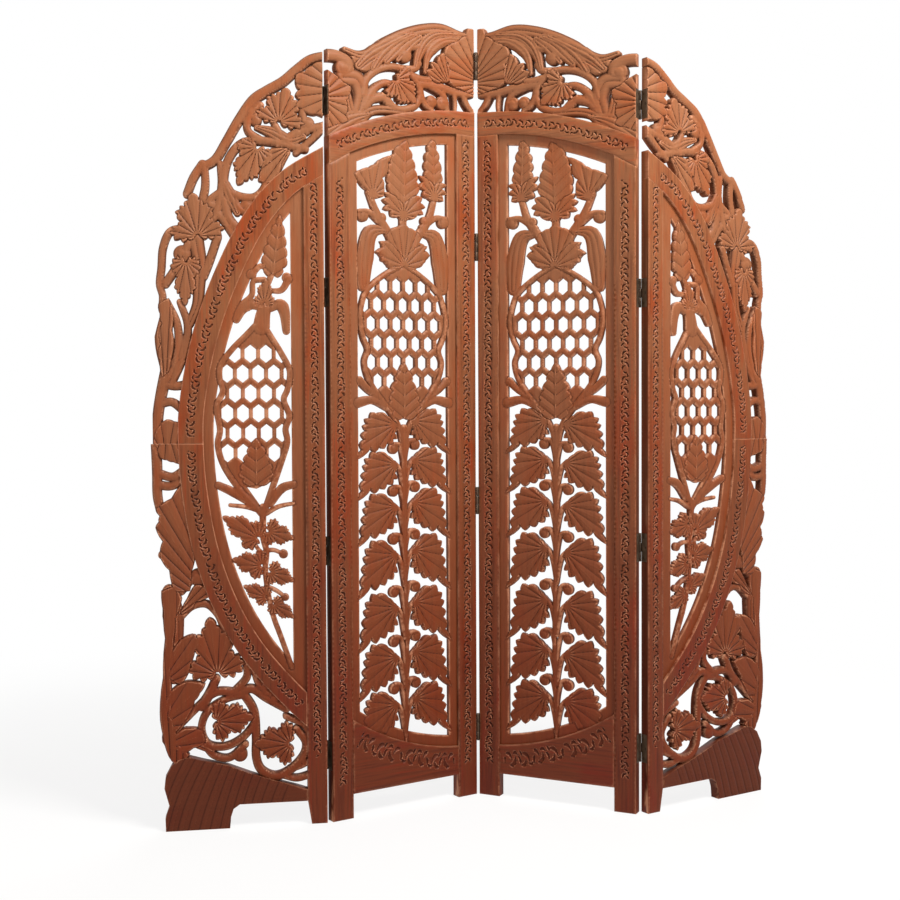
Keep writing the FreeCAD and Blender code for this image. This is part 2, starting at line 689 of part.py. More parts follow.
def inner_fret_carving():
    grid = INNER_GRID
    bulb = patch(grid, BULB_FAR_SHARES + BULB_NEAR_SHARES[-2:0:-1])
    parts = bulb.cut(honeycomb(grid.point(HONEYCOMB_TOP_SHARES))).Faces
    for side in (BULB_FAR_SHARES, BULB_NEAR_SHARES):
        parts.append(stem(grid, side, BORDER_SHARES))
    parts += [stem(grid, points, widths) for points, widths in FRET_STEM_SHARES]
    parts += [ball(grid, centre, radius) for centre, radius in FRET_BALL_SHARES]
    parts += [leaf(grid, base, tip, half, SPEAR_SHARES) for base, tip, half in FRET_SPEAR_SHARES]
    parts += [leaf(grid, base, tip, half, BROAD_SHARES) for base, tip, half in FRET_LEAF_SHARES]
    parts += [patch(grid, points) for points in (SHELL_SHARES, FAN_SHARES)]
    for index, height in enumerate(LEAF_ROW_SHARES):
        parts += vine_row(grid, height, index == 0)
    return parts


CREST_GRID = Grid(WIDTH, 0, size("crest_foot_height"), size("crest_foot_height") + size("crest_height"))


def crest_area():
    lower = arc(ARCH_Z, ARCH_R + SEAT_GAP, 0, WIDTH)
    head = CREST_GRID.head + size("crest_height")
    near, far = Vector(0, 0, head), Vector(WIDTH, 0, head)
    sides = path(lower.valueAt(lower.LastParameter), far, near, lower.valueAt(lower.FirstParameter))
    return Part.Face(Part.Wire([lower] + sides))


CREST_SCROLL_SHARES = (
    # The rim's volute and the rim, then the blades, stems and rings below it.
    (((-0.02, 0.645), (0.06, 0.650), (0.13, 0.625), (0.145, 0.575), (0.10, 0.545)), (0.07, 0.07, 0.045)),
    (((0.115, 0.700), (0.21, 0.680), (0.30, 0.715), (0.40, 0.790), (0.52, 0.862), (0.65, 0.915),
      (0.78, 0.940), (0.92, 0.915), (1.02, 0.930)), (0.035, 0.08, 0.075, 0.06)),
    (((0.90, 0.900), (0.76, 0.885), (0.66, 0.820), (0.61, 0.740), (0.595, 0.665)), (0.05, 0.09, 0.04)),
    (((0.93, 0.875), (0.80, 0.860), (0.71, 0.800), (0.67, 0.730), (0.655, 0.640)), (0.04, 0.07, 0.03)),
    (((0.62, 0.800), (0.56, 0.790), (0.52, 0.830)), (0.05, 0.03)),
    (((0.20, 0.320), (0.225, 0.430), (0.19, 0.520), (0.10, 0.520)), (0.10, 0.12, 0.10)),
    (((0.23, 0.430), (0.26, 0.540), (0.36, 0.620), (0.48, 0.640), (0.58, 0.590), (0.625, 0.500),
      (0.585, 0.410), (0.49, 0.370), (0.40, 0.395), (0.36, 0.445)), (0.05, 0.045, 0.05, 0.04)),
    (((0.24, 0.360), (0.29, 0.460), (0.37, 0.525), (0.46, 0.525)), (0.06, 0.04)),
    (((0.24, 0.350), (0.30, 0.415), (0.38, 0.430), (0.46, 0.370)), (0.05, 0.06, 0.03)),
    (((0.20, 0.230), (0.25, 0.310), (0.34, 0.350), (0.50, 0.360)), (0.10, 0.06, 0.05)),
    (((0.62, 0.560), (0.74, 0.560), (0.88, 0.535), (1.02, 0.545)), (0.06, 0.05)),
    (((0.62, 0.500), (0.655, 0.430), (0.70, 0.400)), (0.05, 0.04)),
    (((0.66, 0.565), (0.78, 0.510), (0.81, 0.420), (0.80, 0.380)), (0.05, 0.04)),
    (((0.86, 0.535), (0.87, 0.460), (0.865, 0.390)), (0.04, 0.03)),
    (((0.92, 0.540), (0.955, 0.470), (1.01, 0.400)), (0.05, 0.04)),
    (((0.13, 0.420), (0.15, 0.330), (0.19, 0.240)), (0.05, 0.08)),
    (((0.57, 0.600), (0.66, 0.590), (0.74, 0.630)), (0.05, 0.04)),
    (((0.48, 0.640), (0.58, 0.650), (0.61, 0.690)), (0.04, 0.05)),
)
CREST_BALL_SHARES = (((0.100, 0.580), 0.048), ((0.515, 0.730), 0.048), ((0.700, 0.452), 0.038),
                     ((0.775, 0.450), 0.044))
CREST_PATCH_SHARES = (
    # The gouged blades under the rim, the half fan, the half palmette with its spray, the leaf in the ring.
    ((0.150, 0.665), (0.185, 0.590), (0.250, 0.575), (0.320, 0.610), (0.345, 0.660), (0.400, 0.665),
     (0.465, 0.700), (0.500, 0.790), (0.560, 0.830), (0.560, 0.880), (0.400, 0.800), (0.280, 0.710)),
    ((-0.02, 0.180), (0.060, 0.215), (0.130, 0.245), (0.115, 0.285), (0.130, 0.330), (0.120, 0.375),
     (0.145, 0.420), (0.150, 0.470), (0.100, 0.490), (0.050, 0.530), (-0.02, 0.560)),
    ((1.02, 0.980), (0.960, 0.980), (0.945, 0.930), (0.880, 0.880), (0.800, 0.830), (0.790, 0.770),
     (0.815, 0.720), (0.820, 0.670), (0.810, 0.620), (0.840, 0.580), (0.900, 0.560), (1.02, 0.530)),
    ((0.580, 0.440), (0.540, 0.420), (0.460, 0.405), (0.430, 0.450), (0.440, 0.510), (0.425, 0.560),
     (0.480, 0.575), (0.540, 0.585), (0.560, 0.550), (0.590, 0.500)),
)


def crest_carving():
    grid = CREST_GRID
    parts = [stem(grid, points, widths) for points, widths in CREST_SCROLL_SHARES]
    parts += [ball(grid, centre, radius) for centre, radius in CREST_BALL_SHARES]
    parts += [patch(grid, points) for points in CREST_PATCH_SHARES]
    parts.append(leaf(grid, (0.70, 0.590), (0.765, 0.790), 0.065, BROAD_SHARES))
    return parts


def inner_panel():
    """The pieces of an inner panel that both sides share, by name."""
    fret_area = inner_board_area(-LIP, -LIP)
    opening = inner_board_area(SIDE_MARGIN, END_MARGIN)
    slack = size("groove_clearance")
    slot = board("inner_slot", inner_board_area(-LIP - slack, -LIP - slack),
                 "sizes.fret_thickness + 2 * sizes.groove_clearance",
                 "sizes.fret_setback - sizes.groove_clearance")
    rail_height = CENTRE_TOP - TENON
    centre_tenon, centre_mortise = tenon("arch_centre", SHOULDER, rail_height, STILE - 2 * SHOULDER,
                                         TENON + ROOT)
    outer_tenon, outer_mortise = tenon("arch_outer", FAR_INSIDE + SHOULDER, OUTER_TOP_FAR - TENON,
                                       STILE - 2 * SHOULDER, TENON + size("mitre_drop"))
    base_height = BASE_TOP - FLOOR_CLEARANCE - 2 * SHOULDER
    near_tenon, near_mortise = tenon("base_near", STILE - TENON, FLOOR_CLEARANCE + SHOULDER, TENON + ROOT,
                                     base_height)
    far_tenon, far_mortise = tenon("base_far", FAR_INSIDE - ROOT, FLOOR_CLEARANCE + SHOULDER, TENON + ROOT,
                                   base_height)
    arch_face = Part.Face(Part.Wire(
        [arc(ARCH_Z, ARCH_R, 0, WIDTH)]
        + path(Vector(WIDTH, 0, height_on(ARCH_Z, ARCH_R, WIDTH)), Vector(WIDTH, 0, OUTER_TOP_FAR),
               Vector(FAR_INSIDE, 0, OUTER_TOP_NEAR))
        + [arc(ARCH_Z, RAIL_R, FAR_INSIDE, STILE)]
        + path(Vector(STILE, 0, CENTRE_TOP), Vector(0, 0, CENTRE_TOP), Vector(0, 0, ARCH_Z + ARCH_R))))
    base_face = Part.Face(Part.Wire(
        [arc(BASE_Z, -BASE_R, STILE, FAR_INSIDE)]
        + path(Vector(FAR_INSIDE, 0, height_on(BASE_Z, -BASE_R, FAR_INSIDE)),
               Vector(FAR_INSIDE, 0, FLOOR_CLEARANCE), Vector(STILE, 0, FLOOR_CLEARANCE),
               Vector(STILE, 0, height_on(BASE_Z, -BASE_R, STILE)))))
    middle_recess = MIDDLE_EDGE.recesses("inner_near")
    outer_recess = INNER_FAR_EDGE.recesses("inner_far")
    arch = board("arch_rail", arch_face, "sizes.frame_thickness", 0.0)
    base = board("bottom_rail", base_face, "sizes.frame_thickness", 0.0)
    centre_blank = upright("centre_stile", "stile_width", CENTRE_TOP, CENTRE_TOP, STILE, 0.0)
    outer_blank = upright("outer_stile", "stile_width", OUTER_TOP_NEAR, OUTER_TOP_FAR, STILE, FAR_INSIDE)
    fret = pierced("fret", fret_area, opening, inner_fret_carving())
    crest = board("crest", silhouette("crest", crest_area(), crest_carving()), "sizes.carving_thickness",
                  "sizes.carving_setback")
    return {
        "centre_stile": cut("centre_stile", centre_blank,
                            [slot, centre_mortise, near_mortise] + middle_recess[:3]),
        "outer_stile": cut("outer_stile", outer_blank,
                           [slot, outer_mortise, far_mortise] + outer_recess[:3]),
        "arch_rail": cut("arch_rail", fused("arch_rail", [arch, centre_tenon, outer_tenon]), [slot]),
        "bottom_rail": cut("bottom_rail", fused("bottom_rail", [base, near_tenon, far_tenon]), [slot]),
        "fret_board": board("fret", fret, "sizes.fret_thickness", "sizes.fret_setback"),
        "crest": cut("crest", crest, [middle_recess[3], outer_recess[3]]),
        "outer_hinge_plates": INNER_FAR_EDGE.plates("inner_far_plates", True),
    }


# The outer panel: one upright, a bow in two halves, a pierced board, two carvings outside the bow and a foot.
WIDEST_SHARE = max(x for x, z in BOW_SHARES)
LENS_GRID = Grid(WIDTH * WIDEST_SHARE - LEAD - BOW - SIDE_MARGIN, OUTER_STILE + size("lens_margin"),
                 size("lens_foot_height"), size("lens_foot_height") + size("lens_height"))
UPPER_GRID = Grid(WIDTH - LEAD, -LEAD, JOINT_Z, JOINT_Z + size("upper_carving_height"))
LOWER_GRID = Grid(WIDTH - LEAD, -LEAD, 0, JOINT_Z)

LENS_BULB_FAR_SHARES = (
    (0.61, 0.765), (0.42, 0.730), (0.25, 0.700), (0.10, 0.665), (0.08, 0.635), (0.12, 0.605), (0.04, 0.570),
    (0.08, 0.520), (0.05, 0.485), (0.12, 0.440), (0.30, 0.390), (0.48, 0.355), (0.62, 0.325),
)
LENS_BULB_NEAR_SHARES = (
    (0.61, 0.765), (0.75, 0.725), (0.88, 0.688), (0.98, 0.650), (0.95, 0.610), (0.90, 0.585), (0.97, 0.550),
    (0.92, 0.520), (0.94, 0.490), (0.86, 0.445), (0.78, 0.405), (0.70, 0.365), (0.62, 0.325),
)
LENS_HONEYCOMB_TOP_SHARES = (0.575, 0.689)
LENS_BORDER_SHARES = (0.075, 0.085)
LENS_LEAF_SHARES = (
    # The base, the tip and half the width of each leaf.
    ((0.77, 0.865), (0.87, 1.000), 0.170), ((0.66, 0.800), (0.68, 0.858), 0.130),
    ((0.54, 0.395), (0.54, 0.500), 0.230), ((0.62, 0.275), (0.10, 0.325), 0.170),
    ((0.62, 0.295), (1.02, 0.272), 0.170), ((0.66, 0.215), (0.22, 0.228), 0.170),
    ((0.62, 0.200), (1.02, 0.176), 0.150), ((0.70, 0.140), (0.36, 0.168), 0.130),
    ((0.70, 0.128), (1.02, 0.092), 0.120),
)
LENS_STEM_SHARES = (
    (((0.66, 0.790), (0.50, 0.800), (0.38, 0.790), (0.30, 0.765)), (0.10, 0.16, 0.10)),
    (((0.72, 0.790), (0.86, 0.800), (0.92, 0.780), (0.94, 0.740)), (0.10, 0.16, 0.10)),
    (((0.66, 0.855), (0.52, 0.850), (0.50, 0.820), (0.38, 0.800)), (0.07, 0.08)),
    (((0.68, 0.835), (0.74, 0.860), (0.80, 0.885)), (0.08, 0.08)),
    (((0.76, 0.870), (0.62, 0.885), (0.50, 0.865)), (0.06, 0.08)),
    (((0.74, 0.830), (0.88, 0.832), (0.97, 0.855)), (0.06, 0.10)),
    (((0.62, 0.750), (0.64, 0.775), (0.68, 0.800)), (0.22, 0.16)),
    (((0.62, 0.345), (0.62, 0.280), (0.66, 0.245), (0.645, 0.205), (0.67, 0.160), (0.74, 0.100),
      (0.84, 0.050), (0.98, -0.02)), (0.09, 0.07, 0.07)),
    (((0.48, 0.270), (0.58, 0.245), (0.67, 0.240)), (0.05, 0.06)),
    (((0.05, 0.395), (0.25, 0.378), (0.46, 0.352)), (0.10, 0.12, 0.08)),
    (((1.02, 0.395), (0.86, 0.385), (0.72, 0.350)), (0.10, 0.12, 0.08)),
    (((0.66, 0.165), (0.78, 0.156), (0.90, 0.140)), (0.06, 0.05)),
    (((0.66, 0.246), (0.76, 0.247), (0.88, 0.238)), (0.06, 0.05)),
    (((0.60, 0.335), (0.42, 0.345), (0.20, 0.350)), (0.07, 0.05)),
    (((0.66, 0.330), (0.82, 0.345), (1.02, 0.352)), (0.07, 0.05)),
)
LENS_BALL_SHARES = (((0.50, 0.866), 0.065), ((0.95, 0.860), 0.065), ((0.40, 0.262), 0.060),
                    ((0.88, 0.238), 0.060), ((0.50, 0.195), 0.055), ((0.90, 0.140), 0.050))


def lens_carving():
    grid = LENS_GRID
    whole = patch(grid, LENS_BULB_FAR_SHARES + LENS_BULB_NEAR_SHARES[-2:0:-1])
    parts = whole.cut(honeycomb(grid.point(LENS_HONEYCOMB_TOP_SHARES))).Faces
    parts += [stem(grid, side, LENS_BORDER_SHARES) for side in (LENS_BULB_FAR_SHARES, LENS_BULB_NEAR_SHARES)]
    parts += [stem(grid, points, widths) for points, widths in LENS_STEM_SHARES]
    parts += [ball(grid, centre, radius) for centre, radius in LENS_BALL_SHARES]
    parts += [leaf(grid, base, tip, half, BROAD_SHARES) for base, tip, half in LENS_LEAF_SHARES]
    return parts


UPPER_STEM_SHARES = (
    (((1.03, 0.985), (0.91, 0.972), (0.83, 0.945), (0.75, 0.913), (0.66, 0.888), (0.58, 0.862), (0.50, 0.810),
      (0.43, 0.755), (0.37, 0.712), (0.29, 0.690)), (0.05, 0.06, 0.05)),
    (((0.87, 0.745), (0.80, 0.750), (0.65, 0.762), (0.52, 0.755), (0.44, 0.710), (0.42, 0.650), (0.48, 0.625),
      (0.58, 0.620), (0.64, 0.645), (0.65, 0.680)), (0.05, 0.05, 0.05, 0.04)),
    (((0.80, 0.750), (0.74, 0.775), (0.70, 0.805)), (0.05, 0.04)),
    (((0.62, 0.765), (0.555, 0.785), (0.55, 0.815), (0.60, 0.825)), (0.045, 0.04)),
    (((0.55, 0.800), (0.57, 0.830), (0.62, 0.850)), (0.04, 0.05)),
    (((0.72, 0.755), (0.84, 0.788), (0.94, 0.800), (1.03, 0.810)), (0.05, 0.05)),
    (((0.82, 0.735), (0.92, 0.775), (1.03, 0.830)), (0.04, 0.05)),
    (((0.88, 0.790), (0.86, 0.820), (0.86, 0.850)), (0.05, 0.05)),
    (((0.40, 0.700), (0.405, 0.650), (0.385, 0.595), (0.35, 0.560), (0.28, 0.535)), (0.045, 0.05, 0.05)),
    (((0.30, 0.700), (0.250, 0.665), (0.215, 0.625)), (0.05, 0.05)),
    (((0.31, 0.700), (0.315, 0.650), (0.30, 0.610)), (0.045, 0.05)),
    (((0.39, 0.630), (0.34, 0.610), (0.32, 0.585)), (0.04, 0.05)),
    (((0.43, 0.650), (0.47, 0.610), (0.525, 0.585), (0.60, 0.588), (0.660, 0.590)), (0.05, 0.05)),
    (((0.42, 0.610), (0.44, 0.570), (0.49, 0.540)), (0.06, 0.05)),
    (((0.39, 0.575), (0.43, 0.550), (0.47, 0.520)), (0.05, 0.04)),
    (((0.20, 0.540), (0.12, 0.530), (0.080, 0.490), (0.07, 0.440), (0.06, 0.400), (0.075, 0.370), (0.07, 0.340)),
     (0.045, 0.045, 0.04)),
    (((0.26, 0.510), (0.28, 0.450), (0.275, 0.400), (0.265, 0.350), (0.22, 0.300)), (0.09, 0.07, 0.05)),
    (((0.38, 0.520), (0.335, 0.460), (0.300, 0.420)), (0.05, 0.05)),
    (((0.22, 0.500), (0.15, 0.440), (0.09, 0.400)), (0.05, 0.05)),
    (((0.10, 0.355), (0.150, 0.305), (0.16, 0.250), (0.13, 0.190), (0.08, 0.150)), (0.04, 0.05, 0.04)),
    (((0.17, 0.355), (0.210, 0.300), (0.20, 0.250), (0.17, 0.200), (0.12, 0.150)), (0.04, 0.05, 0.04)),
    (((0.10, 0.200), (0.065, 0.130), (0.045, 0.080), (0.04, 0.040), (0.045, -0.02)), (0.07, 0.06, 0.06)),
    (((0.08, 0.150), (0.14, 0.145), (0.21, 0.150)), (0.05, 0.05)),
    (((0.05, 0.100), (0.12, 0.105), (0.18, 0.085)), (0.05, 0.05)),
)
UPPER_BALL_SHARES = (((0.595, 0.815), 0.038), ((0.885, 0.808), 0.041), ((0.340, 0.598), 0.041),
                     ((0.545, 0.596), 0.044), ((0.185, 0.475), 0.050), ((0.640, 0.590), 0.035))
UPPER_LEAF_SHARES = (((0.60, 0.755), (0.47, 0.655), 0.110), ((0.220, 0.455), (0.205, 0.345), 0.080))
UPPER_PATCH_SHARES = (
    # A half fan, a big leaf, a serrated leaf, the outer leaf, a serrated blade and half a flower.
    ((1.03, 0.965), (0.950, 0.965), (0.910, 0.955), (0.870, 0.940), (0.820, 0.930), (0.820, 0.905), (0.840, 0.893),
     (0.815, 0.880), (0.840, 0.868), (0.815, 0.852), (0.860, 0.842), (0.890, 0.832), (0.940, 0.832), (1.03, 0.822)),
    ((0.760, 0.895), (0.700, 0.893), (0.630, 0.870), (0.590, 0.850), (0.630, 0.830), (0.640, 0.800),
     (0.700, 0.785), (0.780, 0.780), (0.840, 0.800), (0.870, 0.828), (0.810, 0.850), (0.800, 0.880)),
    ((0.610, 0.660), (0.620, 0.690), (0.650, 0.720), (0.680, 0.745), (0.780, 0.745), (0.740, 0.705),
     (0.725, 0.680), (0.670, 0.655)),
    ((0.260, 0.625), (0.290, 0.600), (0.330, 0.585), (0.370, 0.560), (0.400, 0.540), (0.370, 0.520), (0.320, 0.505),
     (0.250, 0.500), (0.200, 0.495), (0.150, 0.505), (0.115, 0.530), (0.150, 0.550), (0.165, 0.570),
     (0.190, 0.595), (0.215, 0.620)),
    ((0.050, 0.350), (0.110, 0.365), (0.135, 0.320), (0.125, 0.285), (0.135, 0.250), (0.120, 0.210), (0.105, 0.180),
     (0.065, 0.165), (0.055, 0.210), (0.045, 0.225), (0.060, 0.250), (0.052, 0.280), (0.067, 0.300),
     (0.058, 0.325)),
    ((0.015, -0.02), (0.020, 0.020), (0.045, 0.045), (0.090, 0.062), (0.130, 0.057), (0.170, 0.050), (0.180, -0.02)),
)

LOWER_STEM_SHARES = (
    (((0.030, 1.02), (0.035, 0.930), (0.035, 0.870), (0.050, 0.830)), (0.06, 0.05)),
    (((0.040, 0.925), (0.12, 0.915), (0.19, 0.935)), (0.05, 0.05)),
    (((0.040, 0.895), (0.11, 0.892), (0.19, 0.908)), (0.05, 0.05)),
    (((0.150, 0.550), (0.220, 0.580), (0.300, 0.585), (0.36, 0.560), (0.39, 0.530), (0.42, 0.490)), (0.04, 0.05)),
    (((0.350, 0.390), (0.310, 0.350), (0.270, 0.320)), (0.05, 0.06)),
    (((0.130, 0.265), (0.250, 0.320), (0.350, 0.355), (0.47, 0.352), (0.55, 0.360), (0.63, 0.335),
      (0.74, 0.305)), (0.04, 0.05, 0.05)),
    (((0.450, 0.355), (0.520, 0.390), (0.520, 0.430)), (0.04, 0.05)),
    (((0.500, 0.350), (0.560, 0.300), (0.570, 0.230), (0.57, 0.180), (0.60, 0.145), (0.68, 0.128), (0.77, 0.145),
      (0.84, 0.180), (0.85, 0.215), (0.80, 0.250)), (0.05, 0.05, 0.045)),
    (((0.500, 0.345), (0.400, 0.335), (0.300, 0.305), (0.265, 0.260), (0.30, 0.220), (0.40, 0.212), (0.50, 0.235),
      (0.570, 0.275)), (0.04, 0.045, 0.04)),
    (((0.280, 0.225), (0.330, 0.192), (0.420, 0.182), (0.510, 0.215)), (0.045, 0.04)),
    (((0.560, 0.410), (0.590, 0.370), (0.650, 0.345)), (0.04, 0.04)),
    (((0.740, 0.285), (0.850, 0.255), (0.890, 0.190)), (0.04, 0.04)),
    (((0.760, 0.145), (0.830, 0.155), (0.890, 0.170)), (0.04, 0.04)),
    (((0.720, 0.130), (0.800, 0.120), (0.890, 0.130)), (0.04, 0.04)),
    (((0.160, 0.620), (0.240, 0.655), (0.320, 0.640)), (0.05, 0.04)),
)
LOWER_BALL_SHARES = (((0.256, 0.655), 0.050), ((0.480, 0.190), 0.042), ((0.620, 0.368), 0.034),
                     ((0.670, 0.333), 0.036))
LOWER_PATCH_SHARES = (
    # Half a flower, a gouged mass, the edge strip, three blades, a curl, a big leaf and those in the two rings.
    ((0.015, 1.02), (0.050, 0.965), (0.090, 0.958), (0.125, 0.953), (0.170, 0.948), (0.175, 1.02)),
    ((0.180, 0.905), (0.110, 0.860), (0.025, 0.835), (0.045, 0.815), (0.040, 0.800), (0.022, 0.785), (0.060, 0.750),
     (0.045, 0.720), (0.055, 0.700), (0.095, 0.675), (0.120, 0.620), (0.210, 0.620), (0.220, 0.670),
     (0.240, 0.710), (0.225, 0.760), (0.210, 0.830)),
    ((0.050, 0.622), (0.130, 0.635), (0.165, 0.600), (0.130, 0.550), (0.120, 0.500), (0.100, 0.420), (0.100, 0.300),
     (0.140, 0.225), (0.200, 0.195), (0.130, 0.165), (0.080, 0.195), (0.050, 0.250), (0.035, 0.310),
     (0.055, 0.400), (0.068, 0.500), (0.060, 0.570)),
    ((0.080, 0.400), (0.100, 0.460), (0.150, 0.495), (0.220, 0.508), (0.270, 0.490), (0.235, 0.465),
     (0.210, 0.430), (0.190, 0.400), (0.150, 0.378)),
    ((0.060, 0.330), (0.090, 0.360), (0.150, 0.382), (0.210, 0.388), (0.290, 0.378), (0.260, 0.355),
     (0.230, 0.335), (0.210, 0.310), (0.170, 0.280), (0.110, 0.250)),
    ((0.090, 0.235), (0.150, 0.262), (0.200, 0.266), (0.270, 0.260), (0.290, 0.225), (0.220, 0.212), (0.150, 0.195)),
    ((0.150, 0.560), (0.190, 0.600), (0.240, 0.638), (0.290, 0.632), (0.320, 0.605), (0.240, 0.590), (0.210, 0.570)),
    ((0.360, 0.375), (0.300, 0.375), (0.250, 0.390), (0.205, 0.405), (0.205, 0.440), (0.230, 0.470), (0.245, 0.490),
     (0.270, 0.515), (0.300, 0.545), (0.340, 0.530), (0.380, 0.540), (0.410, 0.505), (0.460, 0.500),
     (0.480, 0.470), (0.540, 0.445), (0.530, 0.410), (0.470, 0.410), (0.470, 0.395), (0.420, 0.385)),
    ((0.800, 0.240), (0.760, 0.275), (0.700, 0.272), (0.650, 0.260), (0.600, 0.250), (0.555, 0.225), (0.580, 0.200),
     (0.600, 0.175), (0.650, 0.178), (0.700, 0.155), (0.750, 0.158), (0.795, 0.170), (0.812, 0.205)),
    ((0.550, 0.290), (0.490, 0.305), (0.440, 0.340), (0.380, 0.335), (0.310, 0.320), (0.295, 0.280), (0.300, 0.250),
     (0.340, 0.225), (0.400, 0.220), (0.430, 0.248), (0.490, 0.248), (0.540, 0.265)),
)
FOOT_TOP_SHARES = (
    (0.900, 0.085), (0.795, 0.102), (0.667, 0.120), (0.538, 0.141), (0.410, 0.165), (0.282, 0.179), (0.200, 0.190),
    (0.150, 0.186), (0.100, 0.171),
)
FOOT_NEAR_SHARE = (1.0, 0.080)
FOOT_BEYOND_SHARE = (-1.0, 0.171)
FOOT_SIDE_SHARES = (
    (0.065, 0.141), (0.058, 0.112), (0.085, 0.065), (0.062, 0.035), (0.064, 0.000), (0.420, 0.000),
    (0.426, 0.030), (0.440, 0.050), (0.475, 0.0612), (0.900, 0.0612),
)


def side_carving(grid, stems, balls, leaves, patches):
    parts = [stem(grid, points, widths) for points, widths in stems]
    parts += [ball(grid, centre, radius) for centre, radius in balls]
    parts += [leaf(grid, base, tip, half, BROAD_SHARES) for base, tip, half in leaves]
    return parts + [patch(grid, points) for points in patches]


def outer_panel():
    """The pieces of an outer panel that both sides share, by name."""
    slack = size("groove_clearance")
    within = bow_area(0.0, 0.0)
    hollow = bow_area(-BOW, OUTER_STILE)
    strip = bow_area(-BOW, 0.0)
    near_top = strip.BoundBox.ZMax
    far_top = hollow.BoundBox.ZMax
    stile_shape = outline([Vector(0, 0, 0), Vector(OUTER_STILE, 0, 0), Vector(OUTER_STILE, 0, far_top),
                           Vector(0, 0, near_top)])
    bow = within.cut([hollow, stile_shape])
    upper = bow.common(block(0, 2 * WIDTH, JOINT_Z, OUTER_TOP)).Faces[0]
    lower = bow.common(block(OUTER_STILE, 2 * WIDTH, 0, JOINT_Z)).Faces[0]
    meeting = within.common(block(OUTER_STILE, OUTER_STILE + PLATE, 0, JOINT_Z)).BoundBox.ZMin
    landing = hollow.common(block(OUTER_STILE, OUTER_STILE + PLATE, 0, JOINT_Z)).BoundBox.ZMin
    across = upper.common(block(0, 2 * WIDTH, JOINT_Z, JOINT_Z + PLATE)).BoundBox
    slot = board("outer_slot", bow_area(LIP + slack - BOW, OUTER_STILE - LIP - slack),
                 "sizes.fret_thickness + 2 * sizes.groove_clearance",
                 "sizes.fret_setback - sizes.groove_clearance")
    head_tenon, head_mortise = tenon("bow_head", SHOULDER, far_top - TENON, OUTER_STILE - 2 * SHOULDER,
                                     TENON + near_top - far_top)
    tail_tenon, tail_mortise = tenon("bow_tail", OUTER_STILE - TENON, meeting + SHOULDER, TENON + ROOT,
                                     landing - meeting - 2 * SHOULDER)
    splice_tenon, splice_mortise = tenon("bow_splice", across.XMin + SHOULDER, JOINT_Z - ROOT,
                                         across.XLength - 2 * SHOULDER, TENON + ROOT)
    foot_face = outline([LOWER_GRID.point(share) for share in FOOT_TOP_SHARES + FOOT_SIDE_SHARES])
    foot_face = foot_face.common(block(OUTER_STILE, 2 * WIDTH, 0, JOINT_Z)).Faces[0]
    reach = foot_face.common(block(OUTER_STILE, OUTER_STILE + PLATE, 0, JOINT_Z)).BoundBox
    foot_tenon, foot_mortise = tenon("foot", OUTER_STILE - TENON, reach.ZMin + reach.ZLength / 4, TENON + ROOT,
                                     reach.ZLength / 2)
    recess = OUTER_EDGE.recesses("outer_near")
    raised = Vector(0, 0, SEAT_GAP)
    foot_line = (FOOT_NEAR_SHARE,) + FOOT_TOP_SHARES + (FOOT_BEYOND_SHARE,)
    ground = outline([Vector(2 * WIDTH, 0, 0), Vector(0, 0, 0)]
                     + [LOWER_GRID.point(share) + raised for share in foot_line])
    outside = bow_area(SEAT_GAP, -WIDTH)
    upper_area = block(0, 2 * WIDTH, JOINT_Z + SEAT_GAP, 2 * OUTER_TOP).cut(outside).Faces[0]
    lower_area = block(OUTER_STILE + SEAT_GAP, 2 * WIDTH, 0, JOINT_Z - SEAT_GAP).cut([outside, ground])
    lower_area = max(lower_area.Faces, key=lambda face: face.Area)
    opening = bow_area(-BOW - SIDE_MARGIN, OUTER_STILE + size("lens_margin"))
    fret_area = bow_area(LIP - BOW, OUTER_STILE - LIP)
    fret = pierced("outer_fret", fret_area, opening, lens_carving())
    upper_parts = side_carving(UPPER_GRID, UPPER_STEM_SHARES, UPPER_BALL_SHARES, UPPER_LEAF_SHARES,
                               UPPER_PATCH_SHARES)
    lower_parts = side_carving(LOWER_GRID, LOWER_STEM_SHARES, LOWER_BALL_SHARES, (), LOWER_PATCH_SHARES)
    upper_carving = silhouette("outer_carving_upper", upper_area, upper_parts)
    lower_carving = silhouette("outer_carving_lower", lower_area, lower_parts)
    bow_upper = fused("bow_upper", [board("bow_upper", upper, "sizes.frame_thickness", 0.0), head_tenon])
    bow_lower = fused("bow_lower", [board("bow_lower", lower, "sizes.frame_thickness", 0.0), tail_tenon,
                                    splice_tenon])
    foot = fused("foot", [board("foot", foot_face, "sizes.frame_thickness", 0.0), foot_tenon])
    return {
        "hinge_stile": cut("hinge_stile", upright("hinge_stile", "outer_stile_width", near_top, far_top,
                                                  OUTER_STILE - size("leg_taper"), 0.0),
                           [slot, head_mortise, tail_mortise, foot_mortise] + recess[:3]),
        "bow_upper": cut("bow_upper", bow_upper, [slot, splice_mortise]),
        "bow_lower": cut("bow_lower", bow_lower, [slot]),
        "fret_board": board("outer_fret", fret, "sizes.fret_thickness", "sizes.fret_setback"),
        "outer_carving_upper": cut("outer_carving_upper",
                                   board("outer_carving_upper", upper_carving, "sizes.carving_thickness",
                                         "sizes.carving_setback"), [recess[3]]),
        "outer_carving_lower": board("outer_carving_lower", lower_carving, "sizes.carving_thickness",
                                     "sizes.carving_setback"),
        "foot": foot,
        "hinge_plates": OUTER_EDGE.plates("outer_plates", False),
    }


# Where the panels stand: each turns about the pins of its joint.
def turned(angle, reach):
    return Rotation(Vector(0, 0, 1), angle).multVec(reach)


